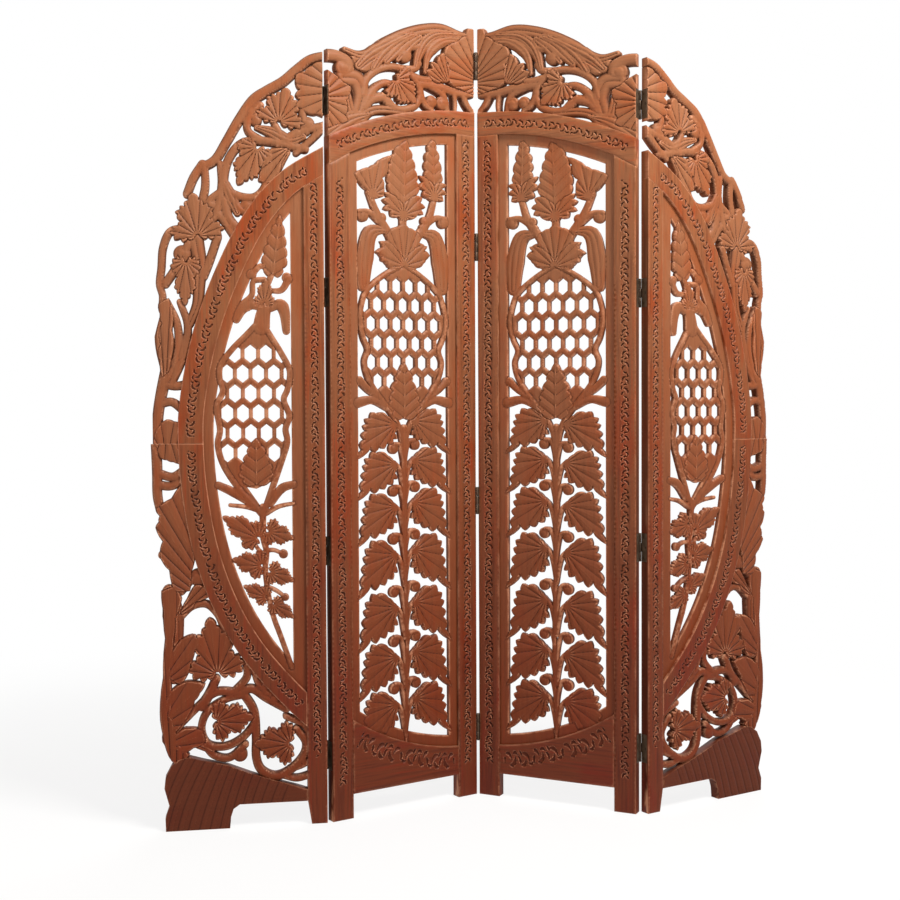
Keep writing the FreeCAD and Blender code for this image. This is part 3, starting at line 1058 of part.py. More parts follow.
near_pivot = Vector(-GAP / 2, -STANDOFF, 0)
far_pivot = Vector(WIDTH + GAP / 2, THICK + STANDOFF, 0)
outer_pivot = Vector(-GAP / 2, THICK + STANDOFF, 0)
flip = FreeCAD.Matrix(-1, 0, 0, 0, 0, 1, 0, 0, 0, 0, 1, 0, 0, 0, 0, 1)
HALVES = (("panel_2", "panel_1", "joint_1", True), ("panel_3", "panel_4", "joint_3", False))
starts = {}
pivots = {"joint_2": Vector(0, 0, 0)}
for inner, outer, joint, mirrored in HALVES:
    def local(place):
        return flip.multVec(place) if mirrored else place

    starts[inner] = turned(TURN_DEGREES[inner], -local(near_pivot))
    pivots[joint] = starts[inner] + turned(TURN_DEGREES[inner], local(far_pivot))
    starts[outer] = pivots[joint] - turned(TURN_DEGREES[outer], local(outer_pivot))

inner_pieces = inner_panel()
outer_pieces = outer_panel()
nodes = []


def stand(panel, name, piece, mirrored):
    """Stands one piece in its panel, as drawn or as its mirror image."""
    source = piece
    if mirrored:
        source = doc.addObject("Part::Mirroring", f"{panel}_{name}_image")
        source.Source = piece
        source.Normal = Vector(1, 0, 0)
        source.Base = Vector(0, 0, 0)
    placed = doc.addObject("Part::Compound", f"{panel}_{name}")
    placed.Links = [source]
    placed.Label = f"{panel}_{name}"
    placed.Placement = Placement(starts[panel], Rotation(Vector(0, 0, 1), TURN_DEGREES[panel]))
    nodes.append(placed)


for panel, mirrored in (("panel_2", True), ("panel_3", False)):
    for name, piece in inner_pieces.items():
        stand(panel, name, piece, mirrored)
for panel, mirrored in (("panel_1", True), ("panel_4", False)):
    for name, piece in outer_pieces.items():
        stand(panel, name, piece, mirrored)
stand("panel_2", "outer_hinge_pins", INNER_FAR_EDGE.pins("inner_far_pins"), True)
stand("panel_3", "outer_hinge_pins", INNER_FAR_EDGE.pins("inner_far_pins_right"), False)
stand("panel_3", "middle_hinge_plates", MIDDLE_EDGE.plates("middle_far_plates", True), False)
stand("panel_2", "middle_hinge_plates", MIDDLE_EDGE.plates("middle_near_plates", False), True)
stand("panel_3", "middle_hinge_pins", MIDDLE_EDGE.pins("middle_pins"), False)
doc.recompute()

# The whole screen is moved so that the middle of its foot is the origin.
extent = FreeCAD.BoundBox()
for node in nodes:
    extent.add(node.Shape.BoundBox)
shift = Vector(-extent.Center.x, -extent.Center.y, -extent.ZMin)
for node in nodes:
    node.Placement = Placement(node.Placement.Base + shift, node.Placement.Rotation)
doc.recompute()

for thing in doc.Objects:
    if {"Invalid", "Error"} & set(thing.State):
        raise SystemExit(f"{thing.Label} did not recompute")
os.makedirs("parts", exist_ok=True)
for node in nodes:
    if node.Shape.isNull() or not node.Shape.isValid() or not node.Shape.Solids:
        raise SystemExit(f"{node.Label} has no valid shape")
    node.Shape.exportStep(f"parts/{node.Label}.step")
    print(node.Label, len(node.Shape.Solids), f"{node.Shape.Volume:.0f}")
print("size", f"{extent.XLength:.2f} {extent.YLength:.2f} {extent.ZLength:.2f}")
print("shift", f"{shift.x:.4f} {shift.y:.4f} {shift.z:.4f}")
for joint, pivot in pivots.items():
    print(joint, f"{pivot.x + shift.x:.4f} {pivot.y + shift.y:.4f}")
for panel, start in starts.items():
    print(panel, f"{start.x + shift.x:.4f} {start.y + shift.y:.4f} {TURN_DEGREES[panel]}")
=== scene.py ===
import json
import math

import bmesh
import bpy
import numpy as np
from mathutils import Matrix, Vector
from mathutils.geometry import delaunay_2d_cdt


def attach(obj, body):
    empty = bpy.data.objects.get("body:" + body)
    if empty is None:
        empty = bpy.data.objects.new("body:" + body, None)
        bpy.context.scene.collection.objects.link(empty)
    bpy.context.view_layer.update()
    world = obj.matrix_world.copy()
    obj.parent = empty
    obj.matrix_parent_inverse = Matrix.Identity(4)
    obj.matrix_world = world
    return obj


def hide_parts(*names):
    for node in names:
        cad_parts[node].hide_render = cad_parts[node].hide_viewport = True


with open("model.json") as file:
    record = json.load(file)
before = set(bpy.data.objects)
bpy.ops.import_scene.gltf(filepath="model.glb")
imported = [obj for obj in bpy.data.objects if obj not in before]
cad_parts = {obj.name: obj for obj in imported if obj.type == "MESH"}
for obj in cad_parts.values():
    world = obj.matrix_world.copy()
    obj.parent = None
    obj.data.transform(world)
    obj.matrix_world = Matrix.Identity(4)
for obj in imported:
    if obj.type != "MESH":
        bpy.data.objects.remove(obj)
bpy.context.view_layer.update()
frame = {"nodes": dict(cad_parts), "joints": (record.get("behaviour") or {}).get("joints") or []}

# Folding carved screen of four panels. Every panel is drawn in its own frame, in millimetres: X runs from
# the hinge edge outwards, Y from the front face to the back, Z up from the floor. The panels of the right
# half are drawn, and those of the left half are their mirror images.
MM = 0.001
WIDTH = 390
STILE = 52
OUTER_STILE = 44
GRID_LEAD = 11
THICK = 25
BOW = 55
FRET_SETBACK = 6
FRET_THICK = 13
FRET_LIP = 7
SIDE_MARGIN = 22
END_MARGIN = 24
LENS_MARGIN = 29
CARVING_SETBACK = 2
CARVING_THICK = 21
TUCK = 1
ARCH_Z = 777
ARCH_R = 848
RAIL_R = 795
BASE_TOP = 121
BASE_R = 606
BASE_Z = BASE_TOP + BASE_R
JOINT_Z = 850
OUTER_TOP = 1720
CREST_FOOT = 1480
CREST_HEIGHT = 350
UPPER_HEIGHT = 870
LENS_FOOT = 370
LENS_HEIGHT = 983
HONEYCOMB_PITCH = 34
HONEYCOMB_ROW = 43.7
HONEYCOMB_HOLE = (25, 40)
HONEYCOMB_ROWS = 6
HONEYCOMB_COLUMNS = range(-3, 4)
EDGE_GAP = 2
STANDOFF = 3.6
PLATE = 1.7
PLATE_REACH = 33
CREST_HINGE_Z = 1734
SIDE_HINGE_Z = 1609
FAR_INSIDE = WIDTH - STILE
OPEN_ENDED = 2 * OUTER_TOP
SMALLEST = 1e-9
TURN_DEGREES = {"panel_1": 9.5, "panel_2": 33.4, "panel_3": -25.4, "panel_4": 31.8}
PIVOTS = {joint["name"][:7]: joint["pos_m"] for joint in frame["joints"]}


class Panel:
    """A panel where it stands, with the matrix from its own frame to the row's."""

    def __init__(self, name, joint, pivot_y, mirrored):
        self.name = name
        self.mirrored = mirrored
        flip = Matrix.Diagonal((-1 if mirrored else 1, 1, 1, 1))
        turn = Matrix.Rotation(math.radians(TURN_DEGREES[name]), 4, "Z") @ flip
        reach = turn @ Vector((-EDGE_GAP / 2, pivot_y, 0)) * MM
        start = Vector((PIVOTS[joint][0] - reach.x, PIVOTS[joint][1] - reach.y, 0))
        self.matrix = Matrix.Translation(start) @ turn @ Matrix.Scale(MM, 4)

    def local_points(self, node):
        """The corners of one of the panel's nodes, in the panel's own frame."""
        mesh = frame["nodes"][f"{self.name}_{node}"].data
        points = np.empty(3 * len(mesh.vertices))
        mesh.vertices.foreach_get("co", points)
        back = np.array(self.matrix.inverted())
        return points.reshape(-1, 3) @ back[:3, :3].T + back[:3, 3]


PANELS = {
    "panel_1": Panel("panel_1", "joint_1", THICK + STANDOFF, True),
    "panel_2": Panel("panel_2", "joint_2", -STANDOFF, True),
    "panel_3": Panel("panel_3", "joint_2", -STANDOFF, False),
    "panel_4": Panel("panel_4", "joint_3", THICK + STANDOFF, False),
}
INNER_PANELS = (PANELS["panel_3"], PANELS["panel_2"])
OUTER_PANELS = (PANELS["panel_4"], PANELS["panel_1"])


class Grid:
    """A carved area. Places on it are shares, first from its far edge to its near one, then from its
    foot to its head. The near edge is the one beside the hinge that the panel is drawn from."""

    def __init__(self, far, near, foot, head):
        self.far = far
        self.near = near
        self.foot = foot
        self.head = head
        self.width = abs(far - near)

    def point(self, share):
        across = self.far + (self.near - self.far) * share[0]
        return np.array((across, self.foot + (self.head - self.foot) * share[1]))

    def points(self, shares):
        return np.array([self.point(share) for share in shares])


# Flat geometry
OUTLINE_STEP = 2.6
PATH_STEPS = 6
ARC_STEPS = 24


def closing(outline):
    """Pairs of neighbouring corners of a closed outline."""
    return zip(outline, np.roll(outline, -1, axis=0))


def within(points, outline):
    """Which points lie inside a closed outline."""
    return between(points, closing(outline))


def between(points, edges):
    """Which points lie inside closed loops that are given edge by edge."""
    x, z = points[:, 0], points[:, 1]
    found = np.zeros(len(points), bool)
    for (x_start, z_start), (x_end, z_end) in edges:
        if z_start != z_end:
            crossing = (z_start > z) != (z_end > z)
            found ^= crossing & (x < x_start + (z - z_start) * (x_end - x_start) / (z_end - z_start))
    return found


def to_line(points, start, end):
    """Distance from points to a straight run, and how far along it each nearest place lies."""
    run = end - start
    share = np.clip((points - start) @ run / max(run @ run, SMALLEST), 0, 1)
    away = points - start - share[:, None] * run
    return np.hypot(away[:, 0], away[:, 1]), share


def to_edges(points, edges):
    """Distance from points to the nearest of some straight edges."""
    best = np.full(len(points), np.inf)
    for start, end in edges:
        best = np.minimum(best, to_line(points, np.asarray(start), np.asarray(end))[0])
    return best


def smooth_path(points):
    """A smooth curve through points."""
    points = np.vstack((2 * points[0] - points[1], points, 2 * points[-1] - points[-2]))
    path = []
    for before, start, end, after in zip(points, points[1:], points[2:], points[3:]):
        for share in np.arange(PATH_STEPS) / PATH_STEPS:
            square, cube = share ** 2, share ** 3
            path.append(0.5 * (2 * start + (end - before) * share
                               + (2 * before - 5 * start + 4 * end - after) * square
                               + (3 * start - before - 3 * end + after) * cube))
    path.append(points[-2])
    return np.array(path)


def sideways(path):
    """Unit vectors square to a path at each of its points."""
    run = np.gradient(path, axis=0)
    run /= np.maximum(np.hypot(run[:, 0], run[:, 1])[:, None], SMALLEST)
    return np.column_stack((run[:, 1], -run[:, 0]))


def dense(outline):
    """A closed outline with points along its long runs."""
    points = []
    for start, end in closing(outline):
        count = max(1, math.ceil(math.dist(start, end) / OUTLINE_STEP))
        points += [start + (end - start) * index / count for index in range(count)]
    return np.array(points)


def arc(centre_z, radius, start_x, end_x):
    """Points on an arc about the middle of the screen: a negative radius is a lower arc."""
    x = np.linspace(start_x, end_x, ARC_STEPS + 1)
    return np.column_stack((x, centre_z + math.copysign(1, radius) * np.sqrt(radius ** 2 - x ** 2)))


def hexagon_net(low, high, step):
    """Points of an even net between two corners."""
    rows = np.arange(low[1], high[1], step * math.sqrt(3) / 2)
    columns = np.arange(low[0], high[0], step)
    net = [(x + (step / 2 if index % 2 else 0), z) for index, z in enumerate(rows) for x in columns]
    return np.array(net).reshape(-1, 2)


def ease(share):
    """A soft step from 0 to 1."""
    share = np.clip(share, 0, 1)
    return share * share * (3 - 2 * share)


# The carved forms
BORDER_LEVEL, BOARD_LEVEL, STEM_LEVEL, LEAF_LEVEL, RAISED_LEVEL = range(-1, 4)
NEARBY = 0.1
HOLE_REACH = 30
BEVEL_REACH = 34
STAR_LOBES = 17
FRET_LEAF = {"top": -0.7, "drop": 2.8}
VINE_LEAF = {"top": -0.8, "drop": 2.8}
CROWN_LEAF = {"top": -0.4, "drop": 2.8}
CARVED_STEM = {"top": -1.0, "drop": 6.0}
CARVED_FAN = {"drop": 4.6, "depth": 3.0}
CARVED_LEAF = {"drop": 4.6, "depth": 2.8}


class Form:
    """A carved form. It has an outline, a level (a higher one lies over a lower one) and the height of its
    surface, which is zero at the front of its board."""

    def __init__(self, outline, level):
        self.corners = np.asarray(outline, float)
        self.level = level
        self.low = self.corners.min(axis=0) - NEARBY
        self.high = self.corners.max(axis=0) + NEARBY
        self.fine = True

    def near(self, points):
        return np.all((points > self.low) & (points < self.high), axis=1)

    def holds(self, points, slack):
        found = within(points, self.corners)
        if slack:
            found |= to_edges(points, closing(self.corners)) < slack
        return found

    def lines(self):
        return [dense(self.corners)]

    def rim(self, points):
        """Distance to the outline."""
        return to_edges(points, closing(self.corners))


class Stem(Form):
    """A rounded band along a path, with rounded ends. Its width follows the widths from end to end. Flutes
    are long grooves along it."""

    def __init__(self, grid, path_shares, width_shares, top=0.0, drop=3.6, flutes=0):
        path = smooth_path(grid.points(path_shares))
        place = np.linspace(0, len(width_shares) - 1, len(path))
        half = grid.width * np.interp(place, range(len(width_shares)), width_shares) / 2
        side = sideways(path)
        forward = np.column_stack((-side[:, 1], side[:, 0]))
        turns = np.radians((30, 60, 90, 120, 150))[:, None]
        head = path[-1] + half[-1] * (np.cos(turns) * side[-1] + np.sin(turns) * forward[-1])
        tail = path[0] - half[0] * (np.cos(turns) * side[0] + np.sin(turns) * forward[0])
        outline = np.vstack((path + side * half[:, None], head, (path - side * half[:, None])[::-1], tail))
        super().__init__(outline, STEM_LEVEL)
        self.path = path
        self.half = half
        self.top = top
        self.drop = drop
        self.flutes = flutes
        self.fine = flutes > 0

    def ratio(self, points):
        """How far each point is from the path, as a share of half the width there, below 0 on one side."""
        best = np.full(len(points), np.inf)
        signed = np.full(len(points), np.inf)
        for index in range(len(self.path) - 1):
            away, share = to_line(points, self.path[index], self.path[index + 1])
            ratio = away / (self.half[index] * (1 - share) + self.half[index + 1] * share)
            run = self.path[index + 1] - self.path[index]
            offset = points - self.path[index]
            side = np.where(offset[:, 0] * run[1] - offset[:, 1] * run[0] > 0, 1, -1)
            signed = np.where(ratio < best, ratio * side, signed)
            best = np.minimum(best, ratio)
        return signed

    def holds(self, points, slack):
        return np.abs(self.ratio(points)) < 1 + slack / 5

    def height(self, points):
        ratio = self.ratio(points)
        dome = np.sqrt(np.clip(1 - ratio ** 2, 0, 1))
        if self.flutes:
            wave = np.abs(np.sin(math.pi * self.flutes * (ratio + 1) / 2))
            groove = 0.42 * self.drop * (1 - wave ** 0.7) * ease(dome * 1.6)
        elif self.half.max() > 5.5:
            groove = 0.7 * np.exp(-((ratio - 0.45) / 0.16) ** 2)
        else:
            groove = 0
        return self.top - self.drop * (1 - dome) - groove


class Ball(Form):
    """A round bud, or the curled end of a stem, with a crescent cut into it."""

    def __init__(self, grid, centre_share, radius_share, top=0.6, drop=5.0):
        self.centre = grid.point(centre_share)
        self.radius = grid.width * radius_share
        turns = np.radians(np.arange(0, 360, 15))
        rim = self.centre + self.radius * np.column_stack((np.cos(turns), np.sin(turns)))
        super().__init__(rim, STEM_LEVEL)
        self.top = top
        self.drop = drop

    def height(self, points):
        away = points - self.centre
        share = np.clip(np.hypot(away[:, 0], away[:, 1]) / self.radius, 0, 1)
        turn = np.arctan2(away[:, 1], away[:, 0])
        crescent = 1.3 * np.exp(-((share - 0.56) / 0.15) ** 2) * ease(0.5 + 0.9 * np.cos(turn - 0.9))
        return self.top - self.drop * (1 - np.sqrt(1 - share ** 2)) - crescent


def bulged(outline):
    """An outline whose edges swell outwards, with a notch between each two."""
    outline = np.asarray(outline, float)
    after = np.roll(outline, -1, axis=0)
    turning = np.sum(outline[:, 0] * after[:, 1] - after[:, 0] * outline[:, 1])
    points = []
    for start, end in zip(outline, after):
        run = (end - start) * np.sign(turning)
        out = np.array((run[1], -run[0])) * min(0.10, 1.6 / max(math.hypot(*run), 0.1))
        points += [start, start * 0.72 + end * 0.28 + out * 0.8, start * 0.36 + end * 0.64 + out]
    return np.array(points)


class Leaf(Form):
    """A leaf inside a drawn edge. Its lobes spread from its base, or lie in pairs along its midrib, with a
    raised vein on each and a cut between each two. Pairs is 0 for lobes that spread."""

    def __init__(self, outline, base, tip, lobes, pairs=0, level=LEAF_LEVEL, top=-0.4, drop=3.4, depth=2.0):
        super().__init__(bulged(outline), level)
        self.base = base
        self.length = math.dist(base, tip)
        self.ahead = (tip - base) / self.length
        self.lobes = lobes
        self.pairs = pairs
        self.top = top
        self.drop = drop
        self.depth = depth

    def height(self, points):
        away = points - self.base
        along = away @ self.ahead
        off = away[:, 0] * self.ahead[1] - away[:, 1] * self.ahead[0]
        reach = np.hypot(along, off)
        if self.pairs:
            wide = 0.8 * self.length / self.pairs
            phase = (along - 0.75 * np.abs(off)) * self.pairs / self.length
            clear = ease(np.abs(off) / 3.5)
            rib = np.exp(-(off / 1.3) ** 2)
        else:
            wide = reach * 2 * math.pi / self.lobes
            phase = np.arctan2(off, along) * self.lobes / (2 * math.pi) + 0.5
            clear = ease((wide - 1.5) / 5)
            rib = 0
        share = np.abs(phase % 1 - 0.5) * 2
        inner = ease(self.rim(points) / 3.2)
        vein = np.maximum(0.8 * np.exp(-(share * wide / 2.2) ** 2) * clear, rib)
        cut_depth = self.depth * share ** 4 * clear * (0.45 + 0.55 * inner)
        sag = 1.3 * ease(1.2 - reach / (0.55 * self.length))
        return self.top - self.drop * (1 - inner) - cut_depth + 0.75 * vein * inner - 0.5 * sag


def fanned(grid, outline_shares, base_share, count, **finish):
    """A leaf whose lobes spread from one place. Count is how many of them its outline shows."""
    outline = grid.points(outline_shares)
    base = grid.point(base_share)
    middle = outline.mean(axis=0)
    ahead = (middle - base) / math.dist(middle, base)
    away = outline - base
    turns = np.arctan2(away[:, 0] * ahead[1] - away[:, 1] * ahead[0], away @ ahead)
    spread = min(turns.max() - turns.min(), 5.2)
    return Leaf(outline, base, base + ahead * np.hypot(*away.T).max(), count * 2 * math.pi / spread, **finish)


# One side of a leaf with a midrib: how far along it, and how far out
LOBED_SHARES = (
    (0.0, 0.08), (-0.03, 0.42), (0.07, 0.78), (0.13, 0.7), (0.2, 1.0), (0.32, 0.84), (0.37, 0.92),
    (0.49, 0.68), (0.55, 0.76), (0.67, 0.5), (0.73, 0.54), (0.85, 0.28), (1.0, 0.03),
)
# One side of a leaf with five pointed lobes
STAR_SHARES = (
    (0.03, 0.04), (-0.1, 0.22), (-0.05, 0.36), (-0.12, 0.52), (-0.03, 0.62), (-0.04, 0.84), (0.07, 0.84),
    (0.13, 1.0), (0.2, 0.84), (0.28, 0.84), (0.28, 0.66), (0.36, 0.62), (0.37, 0.52), (0.46, 0.66),
    (0.54, 0.62), (0.6, 0.7), (0.65, 0.52), (0.73, 0.5), (0.71, 0.34), (0.8, 0.34), (0.84, 0.2),
    (0.92, 0.18), (1.0, 0.0),
)


def lobed(grid, base_share, tip_share, half_share, pairs=0, **finish):
    """A leaf with pairs of lobes along a straight midrib, or with five lobes that spread if pairs is 0."""
    base, tip = grid.point(base_share), grid.point(tip_share)
    run = tip - base
    out = np.array((run[1], -run[0])) / math.hypot(*run) * grid.width * half_share
    side = LOBED_SHARES if pairs else STAR_SHARES
    outline = [base + run * x + out * z for x, z in side] + [base + run * x - out * z for x, z in side[::-1]]
    return Leaf(outline, base, tip, STAR_LOBES, pairs=pairs, **finish)


class Lattice(Form):
    """A mass with a honeycomb of long holes, whose bars are bevelled, and one opening in its foot."""

    def __init__(self, grid, outline_shares, top_share, foot_shares):
        super().__init__(grid.points(outline_shares), BOARD_LEVEL)
        self.fine = False
        half, high = np.array(HONEYCOMB_HOLE) / 2
        hexagon = np.array(((0, high), (half, high / 2), (half, -high / 2), (0, -high), (-half, -high / 2),
                            (-half, high / 2)))
        self.holes = []
        for row in range(HONEYCOMB_ROWS):
            shift = HONEYCOMB_PITCH / 2 if row % 2 == 0 else 0
            for column in HONEYCOMB_COLUMNS:
                middle = grid.point(top_share) + (column * HONEYCOMB_PITCH + shift, -row * HONEYCOMB_ROW)
                self.holes.append(middle + hexagon)
        self.holes.append(grid.points(foot_shares))

    def holds(self, points, slack):
        found = super().holds(points, slack)
        for hole in self.holes:
            beside = np.all(np.abs(points - hole.mean(axis=0)) < HOLE_REACH, axis=1)
            found[beside] &= ~within(points[beside], hole) | (to_edges(points[beside], closing(hole)) < slack)
        return found

    def lines(self):
        return [dense(line) for line in [self.corners] + self.holes]

    def height(self, points):
        rim = np.full(len(points), 9.0)
        for hole in self.holes:
            beside = np.all(np.abs(points - hole.mean(axis=0)) < BEVEL_REACH, axis=1)
            rim[beside] = np.minimum(rim[beside], to_edges(points[beside], closing(hole)))
        return -2.0 - 1.9 * (1 - ease(rim / 3.6))


class Border(Form):
    """The plain border of a board, round its opening."""

    def __init__(self, area, opening):
        super().__init__(area, BORDER_LEVEL)
        self.opening = np.asarray(opening, float)
        self.fine = False

    def holds(self, points, slack):
        found = super().holds(points, slack)
        hole = within(points, self.opening)
        if slack:
            hole &= to_edges(points, closing(self.opening)) > slack
        return found & ~hole

    def lines(self):
        return [dense(self.corners), dense(self.opening)]

    def height(self, points):
        return -1.6 - 1.2 * (1 - ease(to_edges(points, closing(self.opening)) / 2.5))


# Meshes
EDGE_ROUND = 1.3
FRAME_STEP = 6.0
FRET_STEP = 2.1
CARVING_STEP = 1.9
JOIN_SLACK = 0.12
BACK_HOLLOW = 2.0
FRAME_BACK_HOLLOW = 1.0
SHARP_EDGE = math.radians(48)
GRAINS = {"up": (0, 1, 2), "across": (1, 2, 0)}
# Wood is worn on its ridges and has painted shade in its creases down to this depth, and its back has
# neither.
WEAR_AND_SHADE_DEPTH = 12


class Template:
    """A finished piece in its panel's frame, ready to be stood in both halves of the screen."""

    def __init__(self, points, faces, hollow):
        self.points = points
        self.faces = faces
        self.hollow = hollow


def net_points(low, high, lines, wanted, step):
    """Points of a net where they are wanted, clear of the lines."""
    cell = step * 0.42
    taken = set()
    for line in lines:
        for x, z in np.floor(line / cell).astype(int):
            taken.update((x + i, z + j) for i in (-1, 0, 1) for j in (-1, 0, 1))
    net = hexagon_net(low, high, step)
    free = [(x, z) not in taken for x, z in np.floor(net / cell).astype(int)]
    net = net[np.array(free, bool)]
    return net[wanted(net)]


def triangulated(points, edges):
    """Triangles over flat points that keep the edges. New corners are added where edges cross."""
    made = delaunay_2d_cdt([Vector(point) for point in points], edges, [], 0, 1e-4)
    corners = np.array([tuple(corner) for corner in made[0]])
    return corners, np.array(made[2]), made[3]


def loop_edges(first, count):
    """The edges of a closed loop of numbered corners."""
    return [(first + index, first + (index + 1) % count) for index in range(count)]


def boundary(triangles):
    """The directed edges that only one triangle has."""
    edges = np.vstack((triangles[:, (0, 1)], triangles[:, (1, 2)], triangles[:, (2, 0)]))
    known = {tuple(edge) for edge in edges}
    return [edge for edge in known if edge[::-1] not in known]


def carved(forms, area, setback, thickness, fine_step, coarse_step=3.4):
    """A board with its forms carved in relief on the front and its openings cut through."""
    area = np.asarray(area, float)
    forms = sorted(forms, key=lambda form: form.level)

    def covered(points, chosen):
        found = np.zeros(len(points), bool)
        for form in chosen:
            near = form.near(points) & ~found
            if near.any():
                found[near] = form.holds(points[near], 0.0)
        return found

    def solid(points):
        return covered(points, forms) & within(points, area)

    def relief(points):
        return covered(points, [form for form in forms if form.fine])

    lines = [dense(area)] + [line for form in forms for line in form.lines()]
    low, high = area.min(axis=0), area.max(axis=0)
    fine = net_points(low, high, lines, lambda net: solid(net) & relief(net), fine_step)
    coarse = net_points(low, high, lines + [fine], lambda net: solid(net) & ~relief(net), coarse_step)
    points, edges = [], []
    for line in lines:
        edges += loop_edges(len(points), len(line))
        points += list(line)
    corners, triangles, _ = triangulated(points + list(fine) + list(coarse), edges)
    kept = solid(corners[triangles].mean(axis=1))
    triangles = triangles[kept]
    used = np.unique(triangles)
    renumber = np.full(len(corners), -1)
    renumber[used] = np.arange(len(used))
    corners, triangles = corners[used], renumber[triangles]

    height = np.full(len(corners), -9.0)
    level = np.full(len(corners), -99)
    for form in forms:
        near = np.flatnonzero(form.near(corners))
        near = near[form.holds(corners[near], JOIN_SLACK)] if len(near) else near
        if len(near) == 0:
            continue
        fresh = form.height(corners[near])
        over = form.level > level[near]
        under = height[near] - 1.1 - 4 * ease(form.rim(corners[near]) / 5)
        height[near] = np.where(over, np.maximum(fresh, under), np.maximum(height[near], fresh))
        level[near] = form.level

    rim = boundary(triangles)
    rim_points = sorted({index for edge in rim for index in edge})
    number = {index: place for place, index in enumerate(rim_points)}
    back_corners, back_triangles, origins = triangulated(
        list(corners[rim_points]), [(number[start], number[end]) for start, end in rim])
    back_triangles = back_triangles[solid(back_corners[back_triangles].mean(axis=1))]
    count = len(corners)
    front_y = setback - height
    front = np.column_stack((corners[:, 0], front_y, corners[:, 1]))
    back = np.column_stack((back_corners[:, 0], np.full(len(back_corners), setback + thickness),
                            back_corners[:, 1]))
    behind = {rim_points[source]: count + place for place, found in enumerate(origins) for source in found}
    faces = [tuple(triangle) for triangle in triangles.tolist()]
    faces += [tuple(count + index for index in triangle) for triangle in back_triangles[:, ::-1].tolist()]
    faces += [(end, start, behind[start], behind[end]) for start, end in rim]
    hollow = np.concatenate((-height, np.full(len(back), BACK_HOLLOW)))
    return Template(np.vstack((front, back)), faces, hollow)


def fronted(away, sunk):
    """How far a front lies back: it is rounded near its edges, and sunk where its carving says."""
    near = np.clip(away, 0, EDGE_ROUND)
    rounding = EDGE_ROUND - np.sqrt(EDGE_ROUND ** 2 - (EDGE_ROUND - near) ** 2)
    return np.maximum(rounding, sunk * ease(near / EDGE_ROUND))


def dressed(panel, node, sink, in_band, band_step=CARVING_STEP):
    """A frame piece with the shape of its solid and a carved, softly rounded front. The sink gives how far
    the front lies back, and in_band where its carving needs a fine net."""
    net = bmesh.new()
    net.from_mesh(frame["nodes"][f"{panel.name}_{node}"].data)
    net.transform(panel.matrix.inverted())
    bmesh.ops.remove_doubles(net, verts=net.verts, dist=0.01)
    bmesh.ops.bisect_plane(net, geom=net.verts[:] + net.edges[:] + net.faces[:], dist=0.001,
                           plane_co=(0, EDGE_ROUND, 0), plane_no=(0, -1, 0), clear_outer=True)
    rows = {}
    for edge in net.edges:
        if edge.is_boundary:
            rows.setdefault(min(99, int(edge.calc_length() / 3.5)), []).append(edge)
    for cuts, edges in rows.items():
        if cuts:
            bmesh.ops.subdivide_edges(net, edges=edges, cuts=cuts)
    rim_edges = [edge for edge in net.edges if edge.is_boundary]
    rim = list(dict.fromkeys(vert for edge in rim_edges for vert in edge.verts))
    number = {vert: index for index, vert in enumerate(rim)}
    flat = np.array([(vert.co.x, vert.co.z) for vert in rim])
    edges = [(number[edge.verts[0]], number[edge.verts[1]]) for edge in rim_edges]
    ends = [(flat[start], flat[end]) for start, end in edges]

    def inside(points):
        return between(points, ends)

    inset = []
    for start, end in ends:
        middle = (start + end) / 2
        run = (end - start) / max(math.dist(start, end), 1e-6)
        square = np.array((run[1], -run[0]))
        inset += [middle + square * side * away for side in (1, -1) for away in (0.45, EDGE_ROUND)]
    inset = np.array(inset)
    inset = inset[inside(inset)]
    low, high = flat.min(axis=0), flat.max(axis=0)
    lines = [flat, inset]
    band = net_points(low, high, lines, lambda points: inside(points) & in_band(points), band_step)
    plain = net_points(low, high, lines, lambda points: inside(points) & ~in_band(points), FRAME_STEP)
    corners, triangles, origins = triangulated(list(flat) + list(inset) + list(band) + list(plain), edges)
    triangles = triangles[inside(corners[triangles].mean(axis=1))]
    depth = fronted(to_edges(corners, ends), sink(corners))
    verts = {}
    for index in np.unique(triangles):
        source = next((place for place in origins[index] if place < len(rim)), None)
        if source is None:
            verts[index] = net.verts.new((corners[index][0], depth[index], corners[index][1]))
        else:
            verts[index] = rim[source]
    for triangle in triangles:
        net.faces.new([verts[index] for index in triangle])
    bmesh.ops.recalc_face_normals(net, faces=net.faces)
    net.verts.index_update()
    points = np.array([tuple(vert.co) for vert in net.verts])
    faces = [tuple(vert.index for vert in face.verts) for face in net.faces]
    hollow = np.where(points[:, 1] < 6, points[:, 1], FRAME_BACK_HOLLOW)
    net.free()
    return Template(points, faces, hollow)


def ridges(mesh, points):
    """How sharply a mesh bends at each of its points: above 0 on ridges, and below 0 in creases."""
    edges = np.empty(2 * len(mesh.edges), int)
    mesh.edges.foreach_get("vertices", edges)
    edges = edges.reshape(-1, 2)
    normals = np.empty(3 * len(points))
    mesh.vertex_normals.foreach_get("vector", normals)
    normals = normals.reshape(-1, 3)
    run = points[edges[:, 1]] - points[edges[:, 0]]
    run /= np.maximum(np.linalg.norm(run, axis=1)[:, None], SMALLEST)
    bend = np.zeros(len(points))
    valence = np.zeros(len(points))
    for side, sign in ((0, -1), (1, 1)):
        np.add.at(bend, edges[:, side], sign * np.sum(run * normals[edges[:, side]], axis=1))
        np.add.at(valence, edges[:, side], 1)
    return bend / np.maximum(valence, 1)


